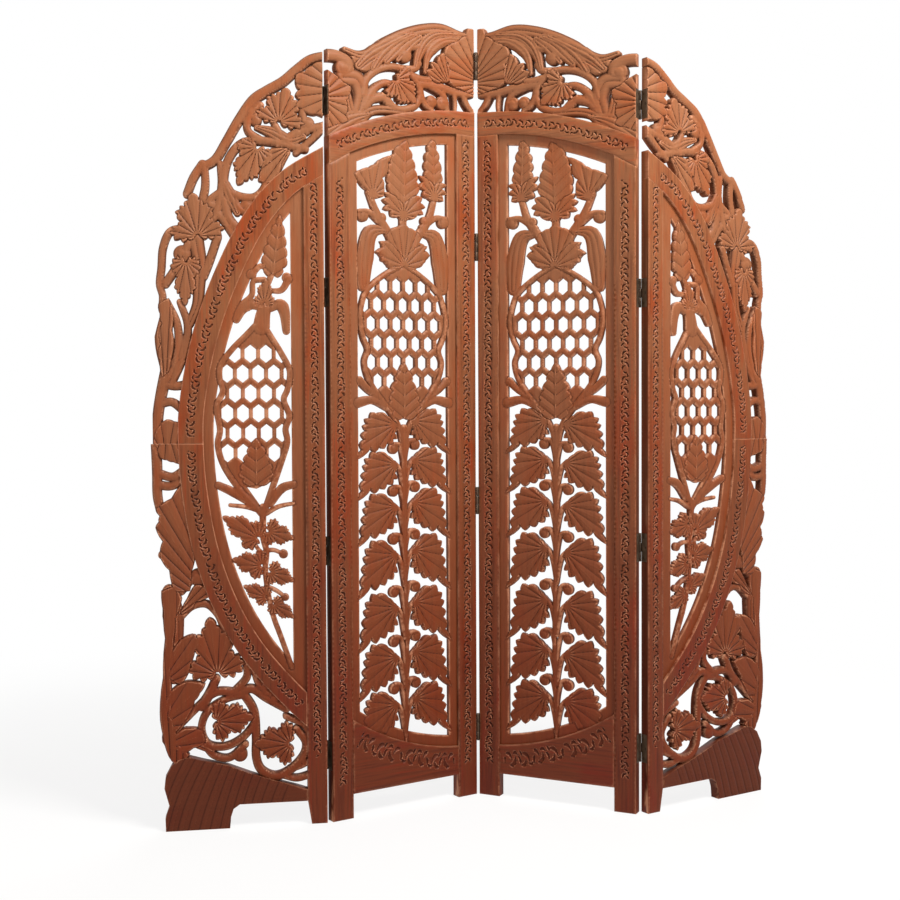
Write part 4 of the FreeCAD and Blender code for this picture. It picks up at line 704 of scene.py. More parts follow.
def stand(template, panel, node, material, slot, grain):
    """Stands a piece in its panel, as drawn or as its mirror image, in place of its solid."""
    name = f"{panel.name}_{node}"
    mesh = bpy.data.meshes.new(name + "_carved")
    matrix = np.array(panel.matrix)
    points = template.points @ matrix[:3, :3].T + matrix[:3, 3]
    faces = [face[::-1] for face in template.faces] if panel.mirrored else template.faces
    mesh.from_pydata(points.tolist(), [], faces)
    mesh.polygons.foreach_set("use_smooth", np.ones(len(mesh.polygons), bool))
    mesh.set_sharp_from_angle(angle=SHARP_EDGE)
    ridge = ridges(mesh, points)
    if slot != METAL_SLOT:
        ridge[template.points[:, 1] > WEAR_AND_SHADE_DEPTH] = 0
    # Moves the grain, so that no two pieces look cut from one place.
    seed = 700.0 * list(PANELS).index(panel.name) + 37.0 * len(node) + 3.0 * sum(map(ord, node)) % 500
    fibres = template.points[:, GRAINS[grain]] + (seed, seed * 0.37, 0)
    for label, values in (("hollow", template.hollow), ("ridge", ridge),
                          ("rise", template.points[:, 2] / OUTER_TOP)):
        mesh.attributes.new(label, "FLOAT", "POINT").data.foreach_set("value", np.ascontiguousarray(values))
    mesh.attributes.new("grain", "FLOAT_VECTOR", "POINT").data.foreach_set("vector", fibres.ravel())
    piece = bpy.data.objects.new(name + "_carved", mesh)
    bpy.context.scene.collection.objects.link(piece)
    piece.data.materials.append(material)
    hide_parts(name)
    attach(piece, panel.name)


# The carved band that runs along every frame piece
BAND_HALF = 12
BAND_PITCH = 53
BAND_DEPTH = 3.0
BAND_FLOOR = 0.25
# Cuts of one stretch of the band: place along and across, half the length and width, slant and bend
CUTS = (
    (5, -6, 6.5, 2.3, 35, 0.5), (13, 4, 7.5, 2.6, -42, -0.5), (17, -7.5, 5.0, 2.0, 8, 0.4),
    (24, 1, 5.0, 2.0, 75, 0.3), (31, 6.5, 6.5, 2.3, -30, -0.5), (37, -4, 8.0, 2.7, 42, 0.5),
    (43, 6.5, 4.6, 1.9, -8, -0.4), (49, 1.5, 5.0, 2.0, -70, 0.3), (27, -7, 3.4, 1.7, 60, 0.0),
    (8, 7.5, 3.6, 1.6, 15, 0.0),
)


class Band:
    """A band of gouge cuts. It is found from how far places lie along it and across it."""

    def __init__(self, locate, first, last, half=BAND_HALF, pitch=BAND_PITCH):
        self.locate = locate
        self.first = first
        self.last = last
        self.half = half
        self.pitch = pitch

    def holds(self, points):
        along, off = self.locate(points)
        return (np.abs(off) < self.half + 3.5) & (along > self.first - 3) & (along < self.last + 3)

    def sink(self, points):
        """How deep the curved cuts are, which leave a leafy scroll between them."""
        along, off = self.locate(points)
        drift = along + 4 * np.sin(along / 61)
        cell = np.floor(drift / self.pitch)
        sway = 1.6 * np.sin(cell * 2.4)
        scale = self.half / BAND_HALF
        deep = np.zeros(len(points))
        for middle, across, half_length, half_width, slant, bend in CUTS:
            turn = math.radians(slant)
            run = (drift / self.pitch - cell) * BAND_PITCH - middle - sway
            side = off / scale - across - 0.5 * sway
            ahead = run * math.cos(turn) + side * math.sin(turn)
            beside = side * math.cos(turn) - run * math.sin(turn) - bend * (ahead * ahead / half_length - 1)
            reach = (ahead / half_length) ** 2 + (beside / half_width) ** 2
            deep = np.maximum(deep, np.sqrt(np.clip(1.15 - reach, 0, 1)))
        inside = ease((self.half - np.abs(off)) / 1.4) * ease((along - self.first) / 2)
        inside = inside * ease((self.last - along) / 2)
        return inside * (BAND_FLOOR + BAND_DEPTH * deep)


def straight(centre_x):
    """Places along and across an upright band."""
    return lambda points: (points[:, 1], points[:, 0] - centre_x)


def round_about(centre_z, radius):
    """Places along and across a band that is bent about the middle of the screen. A negative radius is a
    lower band."""
    def locate(points):
        away = points - (0, centre_z)
        turn = np.arctan2(away[:, 0], np.sign(radius) * away[:, 1])
        return turn * abs(radius), np.hypot(away[:, 0], away[:, 1]) - abs(radius)
    return locate


def beside(path):
    """Places along and across a band that follows a path."""
    lengths = np.hypot(*np.diff(path, axis=0).T)
    starts = np.concatenate(((0,), np.cumsum(lengths)))

    def locate(points):
        best = np.full(len(points), np.inf)
        along = np.zeros(len(points))
        off = np.zeros(len(points))
        for index, length in enumerate(lengths):
            away, share = to_line(points, path[index], path[index + 1])
            run = (path[index + 1] - path[index]) / length
            side = (points - path[index]) @ np.array((run[1], -run[0]))
            closer = away < best
            best = np.where(closer, away, best)
            along = np.where(closer, starts[index] + share * length, along)
            off = np.where(closer, side, off)
        return along, off
    return locate


class Slab(Form):
    """A plain board with rounded edges and a band."""

    def __init__(self, outline, band):
        super().__init__(outline, BOARD_LEVEL)
        self.band = band

    def height(self, points):
        return -fronted(self.rim(points), self.band.sink(points))


# The inner panels
def inner_board_area(side_inset, end_inset):
    """The area between the uprights and the rails, made smaller by the insets."""
    near, far = STILE + side_inset, FAR_INSIDE - side_inset
    lower = arc(BASE_Z, -(BASE_R - end_inset), near, far)
    return np.vstack((lower, arc(ARCH_Z, RAIL_R - end_inset, far, near)))


INNER_GRID = Grid(FAR_INSIDE - SIDE_MARGIN, STILE + SIDE_MARGIN, BASE_TOP + END_MARGIN,
                  ARCH_Z + RAIL_R - END_MARGIN)

# The honeycomb's bulb, from its top down the far side to its foot
BULB_FAR_SHARES = (
    (0.5, 0.793), (0.3, 0.774), (0.12, 0.75), (0.055, 0.728), (0.03, 0.7), (0.06, 0.672), (0.11, 0.652),
    (0.075, 0.632), (0.11, 0.607), (0.2, 0.583), (0.32, 0.558), (0.43, 0.532), (0.5, 0.505),
)
BULB_NEAR_SHARES = tuple((1.01 - x, z) for x, z in BULB_FAR_SHARES)
HONEYCOMB_TOP_SHARES = (0.505, 0.7565)
BULB_FOOT_SHARES = ((0.425, 0.546), (0.585, 0.546), (0.515, 0.517), (0.495, 0.517))
BORDER_SHARES = (0.05, 0.056)
SHELL_SHARES = (
    (0.5, 0.792), (0.4, 0.792), (0.33, 0.789), (0.29, 0.797), (0.25, 0.803), (0.22, 0.812), (0.27, 0.818),
    (0.27, 0.825), (0.33, 0.83), (0.32, 0.84), (0.38, 0.85), (0.44, 0.853), (0.51, 0.859), (0.57, 0.853),
    (0.63, 0.85), (0.69, 0.842), (0.69, 0.83), (0.75, 0.825), (0.75, 0.818), (0.8, 0.811), (0.76, 0.802),
    (0.73, 0.796), (0.69, 0.789), (0.6, 0.792),
)
FAN_SHARES = (
    (0.14, 0.893), (0.1, 0.908), (0.03, 0.918), (-0.03, 0.932), (0.05, 0.94), (0.14, 0.945), (0.2, 0.951),
    (0.28, 0.962), (0.38, 0.968), (0.34, 0.955), (0.33, 0.938), (0.28, 0.93), (0.3, 0.918), (0.29, 0.9),
)
# How high each row of the vine is, and how tall its leaves are
LEAF_ROWS = ((0.529, 0.8), (0.464, 0.83), (0.394, 0.9), (0.315, 1.0), (0.228, 1.0), (0.146, 0.96),
             (0.068, 0.92))
FRET_STEM_SHARES = (
    (((0.505, 0.525), (0.5, 0.44), (0.5, 0.36), (0.505, 0.3), (0.52, 0.22), (0.525, 0.14),
      (0.515, 0.07), (0.5, -0.02)), (0.065, 0.045, 0.04)),
    (((0.505, 0.875), (0.505, 0.85)), (0.075, 0.075)),
    (((0.36, 0.838), (0.22, 0.872), (0.13, 0.905)), (0.09, 0.06)),
    (((0.66, 0.838), (0.79, 0.868), (0.86, 0.905)), (0.09, 0.06)),
    (((0.28, 0.855), (0.14, 0.872), (0.03, 0.873)), (0.07, 0.05)),
    (((0.72, 0.855), (0.86, 0.872), (0.98, 0.873)), (0.07, 0.05)),
    (((0.34, 0.846), (0.15, 0.84), (0.09, 0.8), (0.07, 0.755)), (0.03, 0.15, 0.18, 0.12)),
    (((0.68, 0.846), (0.86, 0.84), (0.925, 0.8), (0.94, 0.755)), (0.03, 0.15, 0.18, 0.12)),
    (((0.22, 0.575), (0.12, 0.586), (0.02, 0.602)), (0.05, 0.08)),
    (((0.79, 0.575), (0.89, 0.586), (0.99, 0.602)), (0.05, 0.08)),
    (((0.32, 0.556), (0.16, 0.57), (0.0, 0.566)), (0.05, 0.1)),
    (((0.69, 0.556), (0.85, 0.57), (1.01, 0.566)), (0.05, 0.1)),
)
FRET_BALL_SHARES = (((0.065, 0.867), 0.062), ((0.955, 0.867), 0.062), ((0.275, 0.866), 0.045),
                    ((0.745, 0.866), 0.045))
# A row of the vine: its axis, and its leaf, buds and stalks measured sideways from the axis
VINE_AXIS_SHARE = 0.505
NEAR_LIFT_SHARE = 0.006
BUD_SHARES = ((0.122, 0.027), 0.054)
LEAF_STALK_SHARES = (((0.0, -0.05), (0.025, -0.026), (0.06, -0.006), (0.115, 0.004)), (0.05, 0.045))
BUD_STALK_SHARES = (((0.0, -0.03), (0.012, 0.004), (0.05, 0.031), (0.11, 0.034)), (0.04, 0.045))
VINE_BASE_SHARE = (0.105, 0.002)
VINE_TIP_SHARE = (0.51, -0.067)
VINE_LEAF_SHARES = (
    (0.082, 0.003), (0.12, 0.01), (0.183, 0.0195), (0.24, 0.027), (0.3, 0.024), (0.355, 0.027),
    (0.375, 0.015), (0.425, 0.013), (0.408, 0.003), (0.448, -0.001), (0.418, -0.011), (0.468, -0.019),
    (0.437, -0.028), (0.482, -0.038), (0.462, -0.049), (0.53, -0.07), (0.411, -0.056), (0.376, -0.045),
    (0.324, -0.055), (0.274, -0.044), (0.223, -0.048), (0.192, -0.037), (0.13, -0.039), (0.12, -0.028),
    (0.077, -0.028), (0.1, -0.016), (0.082, -0.006),
)
CROWN_SHARES = (
    (0.505, 0.888), (0.398, 0.8995), (0.336, 0.913), (0.34, 0.9226), (0.326, 0.93), (0.345, 0.939),
    (0.335, 0.946), (0.365, 0.956), (0.36, 0.962), (0.405, 0.972), (0.415, 0.98), (0.465, 0.986),
    (0.545, 0.996), (0.578, 0.982), (0.612, 0.975), (0.608, 0.967), (0.645, 0.957), (0.636, 0.9496),
    (0.67, 0.939), (0.66, 0.93), (0.692, 0.921), (0.664, 0.909), (0.591, 0.8976),
)
SPEAR_SHARES = (
    (0.852, 0.9265), (0.784, 0.932), (0.742, 0.942), (0.76, 0.95), (0.738, 0.957), (0.762, 0.966),
    (0.75, 0.974), (0.785, 0.982), (0.78, 0.992), (0.83, 1.002), (0.875, 0.998), (0.885, 0.986),
    (0.92, 0.9765), (0.91, 0.969), (0.945, 0.957), (0.932, 0.949), (0.958, 0.938), (0.914, 0.928),
)
CROWN_BASE_SHARES = (
    (0.5045, 0.89), (0.443, 0.8986), (0.386, 0.905), (0.302, 0.908), (0.335, 0.8995), (0.279, 0.895),
    (0.328, 0.888), (0.29, 0.88), (0.362, 0.878), (0.375, 0.869), (0.4545, 0.8687), (0.5045, 0.862),
    (0.568, 0.867), (0.625, 0.8686), (0.668, 0.876), (0.732, 0.877), (0.708, 0.885), (0.755, 0.889),
    (0.7, 0.896), (0.72, 0.905), (0.64, 0.907), (0.568, 0.9),
)
SPEAR_BASE_SHARES = (
    (0.852, 0.8995), (0.784, 0.904), (0.722, 0.908), (0.74, 0.917), (0.677, 0.9227), (0.727, 0.931),
    (0.686, 0.941), (0.773, 0.937), (0.852, 0.9266), (0.915, 0.933), (0.998, 0.9295), (0.948, 0.9227),
    (0.998, 0.9147), (0.945, 0.912), (0.962, 0.902), (0.905, 0.9016),
)
SHELL_BASE_SHARES = (
    (0.511, 0.801), (0.4205, 0.817), (0.352, 0.827), (0.25, 0.828), (0.29, 0.819), (0.198, 0.81),
    (0.265, 0.805), (0.262, 0.796), (0.323, 0.7945), (0.334, 0.7866), (0.409, 0.7837), (0.511, 0.789),
    (0.6, 0.7846), (0.655, 0.7875), (0.7045, 0.794), (0.742, 0.799), (0.75, 0.804), (0.806, 0.81),
    (0.732, 0.8165), (0.775, 0.825), (0.682, 0.825), (0.602, 0.817),
)


def vine_row(grid, height_share, size, first):
    """A pair of drooping leaves, with their stalks and the buds above them."""
    forms = []
    for side, lift_share in ((1, 0), (-1, NEAR_LIFT_SHARE)):
        foot_share = height_share + lift_share

        def placed(shares, scale=1.0):
            return [(VINE_AXIS_SHARE - side * x, foot_share + scale * z) for x, z in shares]

        base, tip = grid.points(placed((VINE_BASE_SHARE, VINE_TIP_SHARE), size))
        forms.append(Leaf(grid.points(placed(VINE_LEAF_SHARES, size)), base, tip, STAR_LOBES, **VINE_LEAF))
        forms.append(Stem(grid, placed(LEAF_STALK_SHARES[0]), LEAF_STALK_SHARES[1]))
        if not first:
            forms.append(Ball(grid, placed(BUD_SHARES[:1])[0], BUD_SHARES[1]))
            forms.append(Stem(grid, placed(BUD_STALK_SHARES[0]), BUD_STALK_SHARES[1]))
    return forms


def crown_leaves(grid):
    """The leaves above the honeycomb, and the one in its foot."""
    midribbed = {"pairs": 6, "depth": 1.4, **FRET_LEAF}
    raised = {"level": RAISED_LEVEL, **CROWN_LEAF}
    table = (
        (CROWN_SHARES, (0.508, 0.885), (0.530, 0.996), 0, midribbed),
        (SPEAR_SHARES, (0.855, 0.915), (0.835, 1.002), 0, midribbed),
        (CROWN_BASE_SHARES, (0.505, 0.874), (0.505, 0.840), 15, raised),
        (SPEAR_BASE_SHARES, (0.855, 0.908), (0.855, 0.880), 15, raised),
        (FAN_SHARES, (0.170, 0.902), (0.340, 0.965), 15, CROWN_LEAF),
        (SHELL_SHARES, (0.505, 0.790), (0.505, 0.858), 22, CROWN_LEAF),
        (SHELL_BASE_SHARES, (0.511, 0.790), (0.511, 0.760), 15, raised),
    )
    forms = [Leaf(grid.points(outline), grid.point(base), grid.point(tip), lobes, **finish)
             for outline, base, tip, lobes, finish in table]
    return forms + [lobed(grid, (0.505, 0.540), (0.505, 0.632), 0.185, 5, **raised)]


def inner_fret():
    """The pierced board of an inner panel."""
    grid = INNER_GRID
    whole = inner_board_area(-FRET_LIP, -FRET_LIP)
    bulb = BULB_FAR_SHARES + BULB_NEAR_SHARES[-2:0:-1]
    forms = [Border(whole, inner_board_area(SIDE_MARGIN, END_MARGIN)),
             Lattice(grid, bulb, HONEYCOMB_TOP_SHARES, BULB_FOOT_SHARES)]
    forms += [Stem(grid, side, BORDER_SHARES) for side in (BULB_FAR_SHARES, BULB_NEAR_SHARES)]
    forms += [Stem(grid, points, widths, flutes=3 if max(widths) > 0.1 else 0)
              for points, widths in FRET_STEM_SHARES]
    forms += [Ball(grid, centre, radius) for centre, radius in FRET_BALL_SHARES]
    forms += crown_leaves(grid)
    for index, (height, size) in enumerate(LEAF_ROWS):
        forms += vine_row(grid, height, size, index == 0)
    return carved(forms, whole, FRET_SETBACK, FRET_THICK, FRET_STEP)


CREST_GRID = Grid(WIDTH, 0, CREST_FOOT, CREST_FOOT + CREST_HEIGHT)

CREST_SCROLL_SHARES = (
    # The rim's volute and the rim, then the blades, stems and rings below it.
    (((-0.02, 0.645), (0.06, 0.65), (0.13, 0.625), (0.145, 0.575), (0.1, 0.545)), (0.07, 0.07, 0.045)),
    (((0.115, 0.7), (0.21, 0.68), (0.3, 0.715), (0.4, 0.79), (0.52, 0.862), (0.65, 0.915),
      (0.78, 0.94), (0.92, 0.915), (1.02, 0.93)), (0.035, 0.08, 0.075, 0.06)),
    (((0.9, 0.9), (0.76, 0.885), (0.66, 0.82), (0.61, 0.74), (0.595, 0.665)), (0.05, 0.09, 0.04)),
    (((0.93, 0.875), (0.8, 0.86), (0.71, 0.8), (0.67, 0.73), (0.655, 0.64)), (0.04, 0.07, 0.03)),
    (((0.62, 0.8), (0.56, 0.79), (0.52, 0.83)), (0.05, 0.03)),
    (((0.2, 0.32), (0.225, 0.43), (0.19, 0.52), (0.1, 0.52)), (0.1, 0.12, 0.1)),
    (((0.23, 0.43), (0.26, 0.54), (0.36, 0.62), (0.48, 0.64), (0.58, 0.59), (0.625, 0.5),
      (0.585, 0.41), (0.49, 0.37), (0.4, 0.395), (0.36, 0.445)), (0.05, 0.045, 0.05, 0.04)),
    (((0.24, 0.36), (0.29, 0.46), (0.37, 0.525), (0.46, 0.525)), (0.06, 0.04)),
    (((0.24, 0.35), (0.3, 0.415), (0.38, 0.43), (0.46, 0.37)), (0.05, 0.06, 0.03)),
    (((0.2, 0.23), (0.25, 0.31), (0.34, 0.35), (0.5, 0.36)), (0.1, 0.06, 0.05)),
    (((0.62, 0.56), (0.74, 0.56), (0.88, 0.535), (1.02, 0.545)), (0.06, 0.05)),
    (((0.62, 0.5), (0.655, 0.43), (0.7, 0.4)), (0.05, 0.04)),
    (((0.66, 0.565), (0.78, 0.51), (0.81, 0.42), (0.8, 0.38)), (0.05, 0.04)),
    (((0.86, 0.535), (0.87, 0.46), (0.865, 0.39)), (0.04, 0.03)),
    (((0.92, 0.54), (0.955, 0.47), (1.01, 0.4)), (0.05, 0.04)),
    (((0.13, 0.42), (0.15, 0.33), (0.19, 0.24)), (0.05, 0.08)),
    (((0.57, 0.6), (0.66, 0.59), (0.74, 0.63)), (0.05, 0.04)),
    (((0.48, 0.64), (0.58, 0.65), (0.61, 0.69)), (0.04, 0.05)),
)
CREST_BALL_SHARES = (((0.1, 0.58), 0.048), ((0.515, 0.73), 0.048), ((0.7, 0.452), 0.038),
                     ((0.775, 0.45), 0.044))
CREST_PATCH_SHARES = (
    # The mass under the rim's blades, the half fan, the half palmette and the leaf beside it.
    ((0.15, 0.665), (0.185, 0.59), (0.25, 0.575), (0.32, 0.61), (0.345, 0.66), (0.4, 0.665),
     (0.465, 0.7), (0.5, 0.79), (0.56, 0.83), (0.56, 0.88), (0.4, 0.8), (0.28, 0.71)),
    ((-0.02, 0.18), (0.06, 0.215), (0.13, 0.245), (0.115, 0.285), (0.13, 0.33), (0.12, 0.375),
     (0.145, 0.42), (0.15, 0.47), (0.1, 0.49), (0.05, 0.53), (-0.02, 0.56)),
    ((1.02, 0.98), (0.96, 0.98), (0.945, 0.93), (0.88, 0.88), (0.8, 0.83), (0.79, 0.77),
     (0.815, 0.72), (0.82, 0.67), (0.81, 0.62), (0.84, 0.58), (0.9, 0.56), (1.02, 0.53)),
    ((0.79, 0.79), (0.75, 0.76), (0.735, 0.71), (0.695, 0.715), (0.7, 0.67), (0.655, 0.65), (0.68, 0.615),
     (0.72, 0.58), (0.77, 0.585), (0.825, 0.6), (0.83, 0.665), (0.815, 0.72)),
)
# Where the gouge cuts of each patch spread from, and how many there are
CREST_GOUGES = (((0.6, 0.88), 5), ((-0.06, 0.37), 9), ((1.06, 0.62), 11), ((0.83, 0.56), 7))
CREST_BLADES = (
    # Fluted blades under the rim, and the broad leaf that lies on the arch at the outer edge.
    (((0.54, 0.87), (0.38, 0.765), (0.27, 0.685), (0.2, 0.61)), (0.04, 0.085, 0.05), 3),
    (((0.57, 0.87), (0.45, 0.795), (0.36, 0.705), (0.3, 0.61)), (0.04, 0.085, 0.05), 3),
    (((0.59, 0.86), (0.51, 0.8), (0.44, 0.725), (0.385, 0.665)), (0.04, 0.075, 0.04), 2),
    (((0.62, 0.86), (0.56, 0.805), (0.5, 0.735), (0.465, 0.69)), (0.04, 0.065, 0.03), 2),
    (((-0.02, 0.13), (0.08, 0.215), (0.18, 0.275), (0.29, 0.315)), (0.12, 0.13, 0.02), 4),
    (((0.88, 0.925), (0.74, 0.9), (0.655, 0.835), (0.61, 0.745), (0.59, 0.665)), (0.04, 0.075, 0.04), 3),
    (((0.93, 0.89), (0.8, 0.87), (0.71, 0.805), (0.67, 0.73), (0.655, 0.64)), (0.04, 0.065, 0.03), 2),
)


def scrolls(grid, table):
    """Stems, of which the broad ones are fluted."""
    return [Stem(grid, points, widths, flutes=2 if max(widths) > 0.075 else 0, **CARVED_STEM)
            for points, widths in table]


def notched(edge_x, inward, height):
    """Corners of the step that a hinge plate takes out of a board's edge, from below to above."""
    low, high = height - PLATE_REACH, height + PLATE_REACH
    return [(edge_x, low), (edge_x + inward * PLATE, low), (edge_x + inward * PLATE, high), (edge_x, high)]


def crest():
    """The crest of an inner panel."""
    grid = CREST_GRID
    top = PANELS["panel_3"].local_points("crest")[:, 2].max()
    area = np.vstack((arc(ARCH_Z, ARCH_R - TUCK, 0, WIDTH), notched(WIDTH, -1, SIDE_HINGE_Z),
                      ((WIDTH, top), (0, top)), notched(0, 1, CREST_HINGE_Z)[::-1]))
    forms = scrolls(grid, CREST_SCROLL_SHARES)
    forms += [Stem(grid, points, widths, drop=5.5, flutes=flutes) for points, widths, flutes in CREST_BLADES]
    forms += [Ball(grid, centre, radius, drop=7.0) for centre, radius in CREST_BALL_SHARES]
    forms += [fanned(grid, points, *cuts, level=LEAF_LEVEL if index else BOARD_LEVEL, **CARVED_FAN)
              for index, (points, cuts) in enumerate(zip(CREST_PATCH_SHARES, CREST_GOUGES))]
    forms.append(lobed(grid, (0.450, 0.560), (0.590, 0.425), 0.125, **CARVED_LEAF))
    return carved(forms, area, CARVING_SETBACK, CARVING_THICK, CARVING_STEP)


# The outer panels
BOW_STEP = 7
BAND_CLEAR = 14
END_CLEAR = 0.5
SPLIT_GAP = 0.2
FOOT_PITCH = 21
FOOT_STEP = 2.2


def bow_line(offset):
    """The outer edge of a bow, moved outwards by the offset, from the hinge edge down."""
    path = smooth_path(np.array([(WIDTH * x - GRID_LEAD, OUTER_TOP * z) for x, z in BOW_SHARES]))
    return path - sideways(path) * offset


def cross_at(path, axis, value):
    """The first place where a path crosses a value of one coordinate."""
    for start, end in zip(path, path[1:]):
        if (start[axis] - value) * (end[axis] - value) <= 0:
            return start + (end - start) * (value - start[axis]) / (end[axis] - start[axis])
    raise ValueError("the path does not reach that place")


def cut_line(offset, near_x, z_low, z_high):
    """The part of a bow's line beyond near_x and between two heights, from the top down."""
    path = bow_line(offset)
    from_edge = path[0][0] < near_x and z_high > JOINT_Z
    upper = cross_at(path, 0, near_x) if from_edge else cross_at(path, 1, z_high)
    lower = cross_at(path[::-1], 0, near_x) if z_low < JOINT_Z - 1 else cross_at(path, 1, z_low)
    height = path[:, 1]
    middle = path[(height < upper[1] - END_CLEAR) & (height > lower[1] + END_CLEAR) & (path[:, 0] > near_x)]
    return np.vstack(([upper], middle, [lower]))


# The outer edge of a bow, as shares of the panel's width and of its height at the hinge
BOW_SHARES = (
    (0.0, 0.878), (0.269, 0.84), (0.474, 0.786), (0.641, 0.712), (0.764, 0.634), (0.836, 0.552),
    (0.849, 0.494), (0.826, 0.424), (0.764, 0.349), (0.654, 0.279), (0.513, 0.222), (0.341, 0.173),
    (0.131, 0.125), (-0.051, 0.096),
)
WIDEST_SHARE = max(x for x, z in BOW_SHARES)
LENS_GRID = Grid(WIDTH * WIDEST_SHARE - GRID_LEAD - BOW - SIDE_MARGIN, OUTER_STILE + LENS_MARGIN,
                 LENS_FOOT, LENS_FOOT + LENS_HEIGHT)
UPPER_GRID = Grid(WIDTH - GRID_LEAD, -GRID_LEAD, JOINT_Z, JOINT_Z + UPPER_HEIGHT)
LOWER_GRID = Grid(WIDTH - GRID_LEAD, -GRID_LEAD, 0, JOINT_Z)
LENS_BULB_FAR_SHARES = (
    (0.61, 0.765), (0.42, 0.73), (0.25, 0.7), (0.1, 0.665), (0.08, 0.635), (0.12, 0.605), (0.04, 0.57),
    (0.08, 0.52), (0.05, 0.485), (0.12, 0.44), (0.3, 0.39), (0.48, 0.355), (0.62, 0.325),
)
LENS_BULB_NEAR_SHARES = (
    (0.61, 0.765), (0.75, 0.725), (0.88, 0.688), (0.98, 0.65), (0.95, 0.61), (0.9, 0.585), (0.97, 0.55),
    (0.92, 0.52), (0.94, 0.49), (0.86, 0.445), (0.78, 0.405), (0.7, 0.365), (0.62, 0.325),
)
LENS_HONEYCOMB_TOP_SHARES = (0.575, 0.689)
LENS_FOOT_SHARES = ((0.42, 0.39), (0.54, 0.386), (0.74, 0.402), (0.64, 0.345), (0.6, 0.345))
LENS_BORDER_SHARES = (0.075, 0.085)
LENS_LEAF_SHARES = (
    # The base, the tip and half the width of each leaf, and how many pairs of lobes lie along its midrib.
    (((0.77, 0.865), (0.87, 1.0), 0.17), 5), (((0.66, 0.8), (0.68, 0.858), 0.15), 0),
    (((0.54, 0.395), (0.54, 0.5), 0.23), 4), (((0.56, 0.275), (0.1, 0.325), 0.21), 0),
    (((0.68, 0.29), (1.02, 0.272), 0.19), 0), (((0.6, 0.213), (0.22, 0.228), 0.2), 0),
    (((0.7, 0.198), (1.02, 0.176), 0.17), 0), (((0.66, 0.142), (0.36, 0.168), 0.15), 0),
    (((0.74, 0.126), (1.02, 0.092), 0.14), 0),
)
LENS_STEM_SHARES = (
    (((0.66, 0.79), (0.5, 0.8), (0.38, 0.79), (0.3, 0.765)), (0.1, 0.16, 0.1)),
    (((0.72, 0.79), (0.86, 0.8), (0.92, 0.78), (0.94, 0.74)), (0.1, 0.16, 0.1)),
    (((0.66, 0.855), (0.52, 0.85), (0.5, 0.82), (0.38, 0.8)), (0.07, 0.08)),
    (((0.68, 0.835), (0.74, 0.86), (0.8, 0.885)), (0.08, 0.08)),
    (((0.76, 0.87), (0.62, 0.885), (0.5, 0.865)), (0.06, 0.08)),
    (((0.74, 0.83), (0.88, 0.832), (0.97, 0.855)), (0.06, 0.1)),
    (((0.62, 0.75), (0.64, 0.775), (0.68, 0.8)), (0.22, 0.16)),
    (((0.62, 0.345), (0.62, 0.28), (0.66, 0.245), (0.645, 0.205), (0.67, 0.16), (0.74, 0.1),
      (0.84, 0.05), (0.98, -0.02)), (0.09, 0.07, 0.07)),
    (((0.48, 0.27), (0.58, 0.245), (0.67, 0.24)), (0.05, 0.06)),
    (((0.05, 0.395), (0.25, 0.378), (0.46, 0.352)), (0.1, 0.12, 0.08)),
    (((1.02, 0.395), (0.86, 0.385), (0.72, 0.35)), (0.1, 0.12, 0.08)),
    (((0.66, 0.165), (0.78, 0.156), (0.9, 0.14)), (0.06, 0.05)),
    (((0.66, 0.246), (0.76, 0.247), (0.88, 0.238)), (0.06, 0.05)),
    (((0.6, 0.335), (0.42, 0.345), (0.2, 0.35)), (0.07, 0.05)),
    (((0.66, 0.33), (0.82, 0.345), (1.02, 0.352)), (0.07, 0.05)),
)
LENS_BALL_SHARES = (((0.5, 0.866), 0.065), ((0.95, 0.86), 0.065), ((0.4, 0.262), 0.06),
                    ((0.88, 0.238), 0.06), ((0.5, 0.195), 0.055), ((0.9, 0.14), 0.05))
